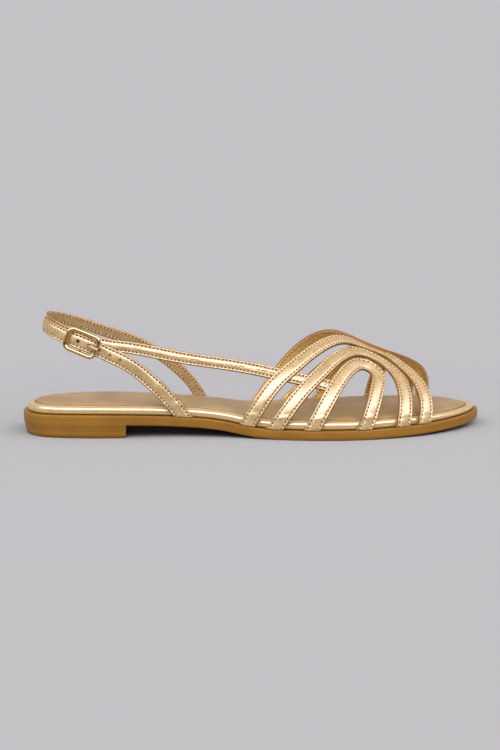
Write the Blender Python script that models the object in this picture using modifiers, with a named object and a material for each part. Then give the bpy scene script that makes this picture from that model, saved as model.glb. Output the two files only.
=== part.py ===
"""Flat gladiator sandal, right shoe: moulded sole, wrapped footbed, strap upper, buckle.

Metres. +X toe, -Y outer (lateral) side, +Z up, floor at z = 0.
"""
import math

import bmesh
import bpy
import numpy as np
from mathutils import Matrix, Vector

# Driving dimensions
SOLE_LENGTH = 0.250
SOLE_WIDTH = 0.0890
TOE_OFFSET = 0.0074
HEEL_RISE = 0.0072
TOE_SPRING = 0.0036
SOLE_THICKNESS = 0.0050
SOLE_LEDGE = 0.0023
HEEL_LENGTH = 0.0558
HEEL_TAPER = 0.0014
FOOTBED_HEIGHT = 0.0054
SOCK_THICKNESS = 0.0008
SOCK_MARGIN = 0.0043
PIECE_GAP = 0.0003
LAYER_GAP = 0.0004
FOOT_GAP = 0.0005
STRAP_WIDTH = 0.0078
SLING_WIDTH = 0.0064
STRAP_THICKNESS = 0.0016
INSTEP_HEIGHT = 0.0500
SLING_HEIGHT = 0.0590
SECTION_POWER = 1.35
BUCKLE_LENGTH = 0.0190
BUCKLE_WIDTH = 0.0131
BUCKLE_WIRE = 0.0022
BUCKLE_CORNER = 0.0040
BAR_WIRE = 0.0012
PRONG_WIRE = 0.0012
HOLE_SPACING = 0.0059
HOLE_SIZE = 0.0024
BUCKLE_STATION = 0.0340
SOLE_ROUND = 0.0006
SHOULDER_ROUND = 0.0024
SHELL_ROUND = 0.0004
CUSHION_EDGE = 0.0055
STRAP_ROUND = 0.0003
BLOCK_LAP = 0.0022

# How finely outlines are divided
SIDE_STEPS = 34
HEEL_STEPS = 14
HOLE_SIDES = 10

# Strap widths below the sling at which the buckle strap has left it
REST_FADE = 2.2

# Plan of the sole: share of length, half widths as shares of SOLE_WIDTH
PLAN = (
    # along, lateral, medial
    (0.010, 0.138, 0.123),
    (0.045, 0.256, 0.240),
    (0.110, 0.312, 0.312),
    (0.200, 0.335, 0.328),
    (0.330, 0.330, 0.268),
    (0.400, 0.346, 0.256),
    (0.450, 0.371, 0.288),
    (0.560, 0.459, 0.402),
    (0.650, 0.497, 0.473),
    (0.740, 0.477, 0.500),
    (0.840, 0.393, 0.461),
    (0.920, 0.257, 0.387),
    (0.975, 0.098, 0.275),
)

# Underside: share of length, share of HEEL_RISE, share of TOE_SPRING
UNDERSIDE = (
    # along, heel, toe
    (0.000, 0.95, 0.00),
    (0.120, 1.00, 0.00),
    (0.235, 0.96, 0.00),
    (0.336, 0.82, 0.00),
    (0.400, 0.65, 0.00),
    (0.432, 0.50, 0.00),
    (0.464, 0.28, 0.00),
    (0.506, 0.08, 0.00),
    (0.548, 0.00, 0.00),
    (0.600, 0.00, 0.00),
    (0.690, 0.00, 0.00),
    (0.740, 0.00, 0.06),
    (0.810, 0.00, 0.22),
    (0.880, 0.00, 0.44),
    (0.950, 0.00, 0.74),
    (1.000, 0.00, 1.00),
)

# Top line of the last: share of length, share of INSTEP_HEIGHT, share of SOLE_WIDTH
TOP_LINE = (
    # along, height, across
    (0.000, 2.200, 0.000),
    (0.300, 1.680, 0.010),
    (0.450, 1.360, 0.015),
    (0.550, 1.122, 0.020),
    (0.620, 1.054, 0.020),
    (0.680, 0.986, 0.022),
    (0.720, 0.878, 0.025),
    (0.760, 0.789, 0.030),
    (0.800, 0.716, 0.040),
    (0.840, 0.666, 0.050),
    (0.880, 0.622, 0.060),
    (0.920, 0.577, 0.070),
    (0.960, 0.500, 0.080),
    (1.000, 0.340, 0.085),
)

# Centre lines of the nested arches on the last: share of length, degrees up
# from the sole edge (90 is the top line), lift in strap thicknesses, degrees of roll
# about the path
LATERAL_OUTER = (
    # along, turn, lift, roll
    (0.476, 0, 0.0, 0),
    (0.502, 12, 0.0, 0),
    (0.540, 28, 0.0, 0),
    (0.584, 41, 0.4, 0),
    (0.644, 59, 1.0, 0),
    (0.728, 80, 1.1, 0),
    (0.794, 78, 1.1, 0),
    (0.816, 66, 0.8, 0),
    (0.846, 46, 0.3, 0),
    (0.856, 20, 0.0, 0),
    (0.848, 0, 0.0, 0),
)
LATERAL_MIDDLE = (
    # along, turn, lift, roll
    (0.532, 0, 0.0, 0),
    (0.582, 20, 0.0, 8),
    (0.638, 39, 0.0, 2),
    (0.684, 55, 0.3, 4),
    (0.720, 67, 0.5, -4),
    (0.744, 69, 0.5, -4),
    (0.770, 66, 0.4, -2),
    (0.794, 58, 0.1, -2),
    (0.810, 25, 0.0, 0),
    (0.800, 0, 0.0, 0),
)
LATERAL_INNER = (
    # along, turn, lift, roll
    (0.608, 0, 0.0, 0),
    (0.634, 14, 0.0, 8),
    (0.668, 32, 0.0, 4),
    (0.694, 44, 0.0, 0),
    (0.714, 52, 0.0, -6),
    (0.730, 55, 0.0, -16),
    (0.752, 52, 0.0, -16),
    (0.760, 47, 0.0, -10),
    (0.752, 37, 0.0, 0),
    (0.740, 23, 0.0, 8),
    (0.728, 10, 0.0, 8),
    (0.716, 0, 0.0, 0),
)
MEDIAL_OUTER = (
    # along, turn, lift, roll
    (0.510, 0, 0.0, 0),
    (0.544, 14, 0.0, 0),
    (0.580, 31, 0.2, 0),
    (0.612, 45, 0.9, 0),
    (0.656, 63, 1.7, 0),
    (0.728, 83, 1.8, 0),
    (0.808, 80, 1.8, 0),
    (0.840, 70, 1.4, 0),
    (0.878, 50, 0.8, 0),
    (0.896, 22, 0.1, 0),
    (0.896, 0, 0.0, 0),
)
MEDIAL_MIDDLE = (
    # along, turn, lift, roll
    (0.576, 0, 0.0, 0),
    (0.650, 22, 0.0, 0),
    (0.698, 43, 0.2, 0),
    (0.724, 59, 0.9, 0),
    (0.748, 70, 1.2, 0),
    (0.772, 72, 1.2, 0),
    (0.798, 70, 1.1, 0),
    (0.822, 62, 0.5, 0),
    (0.860, 26, 0.0, 0),
    (0.866, 0, 0.0, 0),
)
MEDIAL_INNER = (
    # along, turn, lift, roll
    (0.652, 0, 0.0, 0),
    (0.680, 13, 0.0, 0),
    (0.710, 32, 0.0, 0),
    (0.728, 46, 0.5, 0),
    (0.748, 59, 0.7, 0),
    (0.772, 60, 0.7, 0),
    (0.788, 50, 0.3, 0),
    (0.788, 22, 0.0, 0),
    (0.780, 0, 0.0, 0),
)

# Sling strap round the heel, from the medial sole edge back to the outer arches:
# share of length, share of SLING_HEIGHT, share of the last's half width
# (lateral is negative), sink below the last in strap thicknesses, degrees of lean
SLING = (
    # along, height, across, sink, lean
    (0.392, 0.175, 1.03, -0.1, 0),
    (0.362, 0.380, 1.06, -0.1, 3),
    (0.312, 0.580, 1.05, 0.0, 6),
    (0.244, 0.755, 1.03, 0.0, 8),
    (0.172, 0.865, 0.97, 0.0, 8),
    (0.112, 0.960, 0.92, 0.0, 8),
    (0.076, 1.005, 0.72, 0.0, 8),
    (0.058, 1.030, 0.22, 0.0, 8),
    (0.060, 1.020, -0.22, 0.0, 8),
    (0.076, 0.985, -0.71, 0.0, 8),
    (0.108, 0.925, -0.92, 0.0, 8),
    (0.164, 0.845, -0.97, 0.0, 8),
    (0.244, 0.790, -1.00, 0.0, 9),
    (0.348, 0.700, -1.02, 0.0, 12),
    (0.472, 0.620, -1.02, 0.3, 18),
    (0.560, 0.545, -1.00, 0.7, 26),
    (0.654, 0.460, -1.00, 0.7, 30),
)

# Buckle strap, from the lateral sole edge up and back to its free tip:
# share of length, share of SLING_HEIGHT, share of the half width, lift in
# strap thicknesses outside the sling strap, degrees of lean
BUCKLE_STRAP = (
    # along, height, across, lift, lean
    (0.353, 0.130, -1.00, 0.1, 0.0),
    (0.322, 0.305, -1.01, 0.1, 3.0),
    (0.283, 0.479, -1.01, 0.5, 6.0),
    (0.237, 0.637, -0.99, 1.28, 8.0),
    (0.180, 0.762, -0.97, 1.28, 8.0),
    (0.133, 0.854, -0.94, 1.28, 8.0),
    (0.100, 0.907, -0.88, 1.28, 8.0),
    (0.076, 0.960, -0.70, 1.28, 8.0),
    (0.063, 0.990, -0.34, 1.28, 8.0),
)

# Holes of the buckle strap: spacings from the buckle's centre towards the sole
HOLES = (-0.37, 0.66, 1.66, 2.66, 3.66)

# Top of the footbed: share of length, shares of FOOTBED_HEIGHT
FOOTBED_TOP = (
    # along, at the rim, at the middle
    (0.00, 0.84, 0.94),
    (0.25, 0.85, 0.94),
    (0.50, 0.87, 0.97),
    (0.65, 0.86, 1.00),
    (0.80, 0.80, 1.00),
    (0.88, 0.68, 0.96),
    (0.94, 0.55, 0.80),
    (1.00, 0.46, 0.56),
)

# Soft edge of the cushion inside the rim: share of CUSHION_EDGE inwards, share of the
# rise from rim to middle
CUSHION = (
    # inward, rise
    (0.00, 0.00),
    (0.45, 0.68),
    (1.00, 1.00),
)

# Height of a strap over the buckle's bar: half buckle lengths from the bar, share
CROWN = (
    # away, rise
    (0.0, 1.00),
    (0.45, 0.93),
    (0.9, 0.42),
    (1.4, 0.00),
    (1.8, 0.00),
)

# Rounded shoulder of the footbed: shares of SHOULDER_ROUND inwards and below the top
SHOULDER = (
    # inward, below
    (0.00, 1.25),
    (0.08, 0.83),
    (0.29, 0.38),
    (0.58, 0.08),
    (1.00, 0.00),
)


# Curves
def blend(keys, values, at):
    """Smooth curve through a column of table values."""
    keys, values = np.asarray(keys, float), np.asarray(values, float)
    at = np.clip(np.asarray(at, float), keys[0], keys[-1])
    slope = np.gradient(values, keys)
    i = np.clip(np.searchsorted(keys, at, side="right") - 1, 0, len(keys) - 2)
    span = keys[i + 1] - keys[i]
    s = (at - keys[i]) / span
    return ((2 * s ** 3 - 3 * s ** 2 + 1) * values[i]
            + (s ** 3 - 2 * s ** 2 + s) * span * slope[i]
            + (3 * s ** 2 - 2 * s ** 3) * values[i + 1]
            + (s ** 3 - s ** 2) * span * slope[i + 1])


def column(table, index):
    return np.array([row[index] for row in table], float)


def rounded(points, per=8):
    """Closed smooth curve through points."""
    p = np.asarray(points, float)
    before, after, last = np.roll(p, 1, 0), np.roll(p, -1, 0), np.roll(p, -2, 0)
    out = []
    for s in np.arange(per) / per:
        out.append(0.5 * (2 * p + (after - before) * s
                          + (2 * before - 5 * p + 4 * after - last) * s ** 2
                          + (3 * p - before - 3 * after + last) * s ** 3))
    return np.stack(out, 1).reshape(-1, p.shape[1])


def lengths(points):
    steps = np.linalg.norm(np.diff(points, axis=0), axis=1)
    return np.concatenate([[0.0], np.cumsum(steps)])


def resample(points, shares):
    """Points at shares of a polyline's length."""
    run = lengths(points)
    at = np.asarray(shares) * run[-1]
    return np.stack([np.interp(at, run, points[:, k])
                     for k in range(points.shape[1])], 1)


# Sole plan
def plan_sides():
    """Lateral and medial edge of the sole, both from heel to toe."""
    lateral = [(a, -l) for a, l, m in PLAN]
    medial = [(a, m) for a, l, m in PLAN]
    loop = rounded([(0.0, 0.0)] + lateral + [(1.0, TOE_OFFSET / SOLE_WIDTH)] + medial[::-1])
    low, high = loop.min(0), loop.max(0)
    loop = (loop - (low + high) / 2) / (high - low)
    loop = loop * [SOLE_LENGTH, SOLE_WIDTH]
    heel, toe = loop[:, 0].argmin(), loop[:, 0].argmax()
    return loop[heel:toe + 1], np.vstack([loop[toe:], loop[:heel + 1]])[::-1]


LATERAL, MEDIAL = plan_sides()


def half_width(x, side):
    edge = LATERAL if side < 0 else MEDIAL
    return np.abs(np.interp(x, edge[:, 0], edge[:, 1]))


def share(x):
    return np.clip(np.asarray(x, float) / SOLE_LENGTH + 0.5, 0.0, 1.0)


def underside(x):
    """Height of the sole's underside above the floor."""
    along = column(UNDERSIDE, 0)
    heel = blend(along, column(UNDERSIDE, 1), share(x))
    toe = blend(along, column(UNDERSIDE, 2), share(x))
    return np.maximum(heel, 0) * HEEL_RISE + np.maximum(toe, 0) * TOE_SPRING


def deck(x):
    """Height of the sole's upper face."""
    return underside(x) + SOLE_THICKNESS


def above(level):
    """Height function a set distance above the underside."""
    return lambda x: underside(x) + level


def rim_share(x):
    return blend(column(FOOTBED_TOP, 0), column(FOOTBED_TOP, 1), share(x))


def footbed_top(x, rise):
    """Height of the footbed's top, rise 0 at its rim and 1 at its middle."""
    rim = rim_share(x)
    middle = blend(column(FOOTBED_TOP, 0), column(FOOTBED_TOP, 2), share(x))
    return deck(x) + FOOTBED_HEIGHT * (rim + (middle - rim) * rise)


# Last
def last_section(x, side):
    """Centre, half width, base and rise of the last's cross-section."""
    along = column(TOP_LINE, 0)
    middle = blend(along, column(TOP_LINE, 2), share(x)) * SOLE_WIDTH
    top = blend(along, column(TOP_LINE, 1), share(x)) * INSTEP_HEIGHT
    half = half_width(x, side) - SOLE_LEDGE + 2 * PIECE_GAP - side * middle
    base = deck(x)
    return middle, half, base, top - base


def last_surface(x, side, turn):
    middle, half, base, rise = last_section(x, side)
    angle = np.radians(turn)
    y = middle + side * half * np.cos(np.maximum(angle, 0)) ** (2 / SECTION_POWER)
    z = base + rise * np.where(angle > 0, np.sin(angle), angle)
    return np.stack([x + 0 * y, y, z], -1)


def last_normal(x, side, turn):
    dx, da = 1e-4, 0.2
    along = last_surface(x + dx, side, turn) - last_surface(x - dx, side, turn)
    up = last_surface(x, side, turn + da) - last_surface(x, side, turn - da)
    out = np.cross(along, up) * (-side)
    return out / np.linalg.norm(out, axis=-1, keepdims=True)


def last_half(x, z, side):
    """Reach of the last from y = 0 at height z."""
    middle, half, base, rise = last_section(x, side)
    low = np.clip((z - base) / rise, 0, 0.98)
    return half * (1 - low ** 2) ** (1 / SECTION_POWER) + side * middle


# Strap paths
def across(line, normal):
    """Directions over a strap's width."""
    tangent = np.gradient(line, axis=0)
    side = np.cross(normal, tangent)
    return side / np.linalg.norm(side, axis=1)[:, None]


def arch_path(table, side, count=160):
    """Dense centre line and outward normals of one arch on the last."""
    rows = np.array(table, float)
    turn = rows[:, 1]
    x = (rows[:, 0] - 0.5) * SOLE_LENGTH
    run = lengths(last_surface(x, side, turn))
    at = np.linspace(0, run[-1], count)
    x, turn = blend(run, x, at), blend(run, turn, at)
    lift = blend(run, rows[:, 2], at)[:, None] * STRAP_THICKNESS
    normal = last_normal(x, side, turn)
    line = last_surface(x, side, turn) + normal * lift
    roll = np.radians(blend(run, rows[:, 3], at))[:, None]
    return line, normal * np.cos(roll) + across(line, normal) * np.sin(roll)


def hoop_path(table, sign, count=260):
    """Dense centre line and outward normals of a strap round the heel."""
    rows = np.array(table, float)
    x = (rows[:, 0] - 0.5) * SOLE_LENGTH
    z = rows[:, 1] * SLING_HEIGHT
    reach = np.where(rows[:, 2] > 0, last_half(x, z, 1), last_half(x, z, -1))
    points = np.stack([x, rows[:, 2] * reach, z], 1)
    run = lengths(points)
    at = np.linspace(0, run[-1], count)
    line = np.stack([blend(run, points[:, k], at) for k in range(3)], 1)
    level = np.gradient(line, axis=0)
    normal = np.stack([level[:, 1], -level[:, 0], 0 * at], 1)
    inward = (normal * (line * [1, 1, 0] + [SOLE_LENGTH / 5, 0, 0])).sum() < 0
    normal = normal * (-1 if inward else 1)
    normal = normal / np.linalg.norm(normal, axis=1)[:, None]
    lean = np.radians(blend(run, rows[:, 4], at))[:, None]
    normal = normal * np.cos(lean) + np.array([0, 0, 1.0]) * np.sin(lean)
    level = level / np.linalg.norm(level, axis=1)[:, None]
    normal = normal - level * (normal * level).sum(1)[:, None]
    normal = normal / np.linalg.norm(normal, axis=1)[:, None]
    offset = blend(run, rows[:, 3], at)[:, None] * STRAP_THICKNESS * sign
    return line + normal * offset, normal


def band_edges(line, normal, shares, width=None):
    """Parallel curves across a strap, one for each share of its width."""
    width = STRAP_WIDTH if width is None else width
    return [line + across(line, normal) * width * s for s in shares]


def grown(line):
    """The curve with straight run-outs at both ends."""
    head, tail = line[0] - line[2], line[-1] - line[-3]
    steps = np.linspace(0, STRAP_WIDTH, 12)[1:, None]
    head = line[0] + steps[::-1] * head / np.linalg.norm(head)
    tail = line[-1] + steps * tail / np.linalg.norm(tail)
    return np.vstack([head, line, tail])


def footed(curve, at_start, at_end):
    """Part of a curve above the sole, cut level with its upper face."""
    clear = curve[:, 2] - deck(curve[:, 0]) - FOOT_GAP
    kept = np.flatnonzero(clear > 0)
    first, final = kept[0], kept[-1]
    body = curve[first:final + 1]
    if at_start and first > 0:
        s = clear[first] / (clear[first] - clear[first - 1])
        body = np.vstack([curve[first] + s * (curve[first - 1] - curve[first]), body])
    if at_end and final < len(curve) - 1:
        s = clear[final] / (clear[final] - clear[final + 1])
        body = np.vstack([body, curve[final] + s * (curve[final + 1] - curve[final])])
    return body


def rested(line, carrier, normal):
    """Moves the rear of a strap's centre line onto the strap that it lies over."""
    near = carrier[(carrier[:, 1] < 0.1 * SOLE_WIDTH) & (carrier[:, 0] < 0)]
    out = line.copy()
    for i, point in enumerate(line):
        gap = near[:, :2] - point[:2]
        k = np.clip(np.einsum("ij,ij->i", gap, gap).argmin(), 1, len(near) - 2)
        chord = near[k + 1] - near[k - 1]
        s = np.dot(point[:2] - near[k - 1, :2], chord[:2]) / np.dot(chord[:2], chord[:2])
        foot = near[k - 1] + s * chord
        below = foot[2] - point[2]
        weight = np.clip(REST_FADE - below / STRAP_WIDTH, 0, 1)
        outward = normal[i, :2] / np.linalg.norm(normal[i, :2])
        target = foot[:2] + outward * below * normal[i, 2]
        out[i, :2] += weight * (target - point[:2])
    return out


def crowned(line, normal, station):
    """Raises a strap over the buckle's centre bar, low again under the end bars."""
    run = lengths(line)
    middle = np.interp(-station, -line[::-1, 0][::-1], run)
    away = np.abs(run - middle) / (BUCKLE_LENGTH / 2)
    rise = blend(column(CROWN, 0), column(CROWN, 1), away)
    rise = np.maximum(rise, 0)
    return line + normal * rise[:, None] * (BAR_WIRE + PIECE_GAP), middle


# Solids
HEEL_BREAST = -SOLE_LENGTH / 2 + HEEL_LENGTH


def material(name, colour, metallic, roughness):
    made = bpy.data.materials.new(name)
    made.use_nodes = True
    shader = made.node_tree.nodes["Principled BSDF"]
    shader.inputs["Base Color"].default_value = (*colour, 1.0)
    shader.inputs["Metallic"].default_value = metallic
    shader.inputs["Roughness"].default_value = roughness
    return made


def add_mesh(name, mesh, home, made=None):
    thing = bpy.data.objects.new(name, mesh)
    home.objects.link(thing)
    if made:
        mesh.materials.append(made)
    return thing


def as_cutter(thing):
    thing.hide_render = True
    thing.display_type = "WIRE"


def boolean(target, other, operation):
    step = target.modifiers.new(operation.title() + "_" + other.name, "BOOLEAN")
    step.operation = operation
    step.solver = "EXACT"
    step.object = other


def sole_ring(inset, height):
    """Loop of points at an inset from the sole's edge."""
    at = np.linspace(0, 1, SIDE_STEPS + 1)
    at = at - 0.1 * np.sin(2 * math.pi * at)
    lateral, medial = resample(LATERAL, at), resample(MEDIAL, at)
    loop = np.vstack([lateral, medial[-2:0:-1]])
    return lifted(loop, inset, height)


def lifted(loop, inset, height):
    flow = np.roll(loop, -1, 0) - np.roll(loop, 1, 0)
    inward = np.stack([-flow[:, 1], flow[:, 0]], 1)
    inward /= np.linalg.norm(inward, axis=1)[:, None]
    moved = loop + inward * inset
    return np.column_stack([moved, height(moved[:, 0])])


def heel_ring(inset, height):
    """Loop round the heel block, closed straight across at the breast."""
    sides = []
    for edge in (LATERAL, MEDIAL):
        run = lengths(edge)
        reach = np.interp(HEEL_BREAST, edge[:, 0], run) / run[-1]
        at = np.linspace(0, 1, HEEL_STEPS + 1)
        sides.append(resample(edge, reach * (at - 0.1 * np.sin(math.pi * at))))
    loop = np.vstack([sides[0], sides[1][:0:-1]])
    ring = lifted(loop, inset, height)
    ends = (HEEL_STEPS, HEEL_STEPS + 1)
    for k in ends:
        side = -1 if k == ends[0] else 1
        ring[k, :2] = HEEL_BREAST, side * (half_width(HEEL_BREAST, side) - inset)
        ring[k, 2] = height(ring[k, 0])
    return ring


def loft(name, rings, closed_end, home, made=None):
    """Solid from stacked loops with ladder faces across both ends."""
    form = bmesh.new()
    levels = [[form.verts.new(Vector(p)) for p in ring] for ring in rings]
    count = len(levels[0])
    for low, high in zip(levels, levels[1:]):
        for k in range(count):
            n = (k + 1) % count
            form.faces.new((low[k], low[n], high[n], high[k]))
    for ring, flip in ((levels[0], True), (levels[-1], False)):
        rungs = [(ring[k], ring[-k]) for k in range(1, (count + 1) // 2)]
        faces = [(ring[0], rungs[0][0], rungs[0][1])]
        faces += [(a[0], b[0], b[1], a[1]) for a, b in zip(rungs, rungs[1:])]
        if closed_end:
            faces.append((rungs[-1][0], ring[count // 2], rungs[-1][1]))
        for face in faces:
            form.faces.new(face[::-1] if flip else face)
    bmesh.ops.recalc_face_normals(form, faces=form.faces)
    mesh = bpy.data.meshes.new(name)
    form.to_mesh(mesh)
    form.free()
    return add_mesh(name, mesh, home, made)


def strap_sheet(name, line, normal, width, count, feet, home, made=None):
    """Strap laid as a grid along its path, thickened outwards."""
    shares = (-0.5, 0.0, 0.5)
    if any(feet):
        extra = len(grown(line)) - len(line)
        half = extra // 2
        line = grown(line)
        normal = np.vstack([np.repeat(normal[:1], half, 0), normal,
                            np.repeat(normal[-1:], half, 0)])
        if not feet[0]:
            line, normal = line[half:], normal[half:]
        if not feet[1]:
            line, normal = line[:-half], normal[:-half]
    curves = band_edges(line, normal, shares, width)
    if any(feet):
        curves = [footed(curve, *feet) for curve in curves]
    at = np.linspace(0, 1, count)
    columns = [resample(curve, at) for curve in curves]
    form = bmesh.new()
    bmesh.ops.create_grid(form, x_segments=count - 1, y_segments=2, size=1.0)
    for vert in form.verts:
        i = round((vert.co.x + 1) / 2 * (count - 1))
        j = round(vert.co.y + 1)
        vert.co = Vector(columns[j][i])
    mesh = bpy.data.meshes.new(name)
    form.to_mesh(mesh)
    form.free()
    strap = add_mesh(name, mesh, home, made)
    thick = strap.modifiers.new("Thickness", "SOLIDIFY")
    thick.thickness = STRAP_THICKNESS
    thick.offset = 1.0
    thick.use_even_offset = True
    edge = strap.modifiers.new("Edge", "BEVEL")
    edge.width = STRAP_ROUND
    edge.segments = 1
    edge.limit_method = "ANGLE"
    edge.angle_limit = math.radians(50)
    return strap


def wire(name, points, radius, cyclic, home, made=None):
    """Round wire along a path."""
    path = bpy.data.curves.new(name, "CURVE")
    path.dimensions = "3D"
    path.bevel_depth = radius
    path.bevel_resolution = 2
    path.use_fill_caps = not cyclic
    spline = path.splines.new("POLY")
    spline.points.add(len(points) - 1)
    for spot, point in zip(spline.points, points):
        spot.co = (*point, 1.0)
    spline.use_cyclic_u = cyclic
    drawn = bpy.data.objects.new(name + "_path", path)
    home.objects.link(drawn)
    graph = bpy.context.evaluated_depsgraph_get()
    mesh = bpy.data.meshes.new_from_object(drawn.evaluated_get(graph))
    mesh.name = name
    form = bmesh.new()
    form.from_mesh(mesh)
    bmesh.ops.remove_doubles(form, verts=form.verts, dist=1e-6)
    bmesh.ops.recalc_face_normals(form, faces=form.faces)
    form.to_mesh(mesh)
    form.free()
    bpy.data.objects.remove(drawn)
    return add_mesh(name, mesh, home, made)


# Assembly
for thing in list(bpy.data.objects):
    bpy.data.objects.remove(thing)

shoe = bpy.data.collections.new("gladiator_sandal")
tools = bpy.data.collections.new("cutters")
bpy.context.scene.collection.children.link(shoe)
bpy.context.scene.collection.children.link(tools)

rubber = material("sole_rubber", (0.42, 0.24, 0.07), 0.0, 0.5)
wrap = material("footbed_leather", (0.70, 0.52, 0.27), 0.7, 0.35)
lining = material("sock_leather", (0.55, 0.42, 0.24), 0.5, 0.45)
gold = material("strap_leather", (0.78, 0.60, 0.33), 0.75, 0.35)
metal = material("buckle_metal", (0.85, 0.58, 0.22), 1.0, 0.15)


def build_sole():
    rings = [sole_ring(inset, above(level)) for inset, level in (
        (SOLE_ROUND, 0.0), (0.0, SOLE_ROUND),
        (0.0, SOLE_THICKNESS - SOLE_ROUND), (SOLE_ROUND, SOLE_THICKNESS))]
    plate = loft("outsole", rings, True, shoe, rubber)
    seam = SOLE_ROUND / 3
    rings = [
        heel_ring(HEEL_TAPER + SOLE_ROUND, lambda x: 0 * x),
        heel_ring(HEEL_TAPER, lambda x: 0 * x + SOLE_ROUND),
        heel_ring(seam, lambda x: underside(x) - seam),
        heel_ring(seam + SOLE_ROUND, above(BLOCK_LAP))]
    block = loft("heel_block", rings, False, tools)
    as_cutter(block)
    boolean(plate, block, "UNION")


def cushion_rings(sink):
    """Rings from the sock's edge inwards, sink below the footbed's top."""
    return [sole_ring(SOLE_LEDGE + SOCK_MARGIN + s * CUSHION_EDGE,
                      lambda x, rise=rise: footbed_top(x, rise) - sink)
            for s, rise in CUSHION]


def build_footbed():
    base = SOLE_THICKNESS + LAYER_GAP
    edge = SOLE_LEDGE + SOCK_MARGIN
    rings = [sole_ring(SOLE_LEDGE + SHELL_ROUND, above(base)),
             sole_ring(SOLE_LEDGE, above(base + SHELL_ROUND))]
    rings += [sole_ring(SOLE_LEDGE + i * SHOULDER_ROUND, lambda x, b=b: footbed_top(x, 0)
                        - b * SHOULDER_ROUND * rim_share(x)) for i, b in SHOULDER]
    rings += [sole_ring(edge - LAYER_GAP, lambda x: footbed_top(x, 0)),
              sole_ring(edge - 0.8 * LAYER_GAP, lambda x: footbed_top(x, 0) - SOCK_THICKNESS)]
    loft("footbed", rings + cushion_rings(SOCK_THICKNESS), True, shoe, wrap)
    base = SOCK_THICKNESS - LAYER_GAP
    corner = 0.8 * SHELL_ROUND - LAYER_GAP
    rings = cushion_rings(base)[::-1]
    rings += [sole_ring(edge, lambda x: footbed_top(x, 0) - corner),
              sole_ring(edge + SHELL_ROUND, lambda x: footbed_top(x, 0) + LAYER_GAP)]
    loft("sock_liner", rings + cushion_rings(-LAYER_GAP)[1:], True, shoe, lining)


def build_upper():
    sling_line, sling_normal = hoop_path(SLING, -1)
    upper = strap_sheet("upper", sling_line, sling_normal, SLING_WIDTH, 78,
                        (True, False), shoe, gold)
    arches = (("lateral_outer", -1, LATERAL_OUTER, 34), ("lateral_middle", -1, LATERAL_MIDDLE, 30),
              ("lateral_inner", -1, LATERAL_INNER, 28), ("medial_outer", 1, MEDIAL_OUTER, 34),
              ("medial_middle", 1, MEDIAL_MIDDLE, 30), ("medial_inner", 1, MEDIAL_INNER, 28))
    for word, side, table, count in arches:
        line, normal = arch_path(table, side)
        arch = strap_sheet(word + "_arch", line, normal, STRAP_WIDTH, count,
                           (True, True), tools)
        as_cutter(arch)
        boolean(upper, arch, "UNION")
    return sling_line


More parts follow.
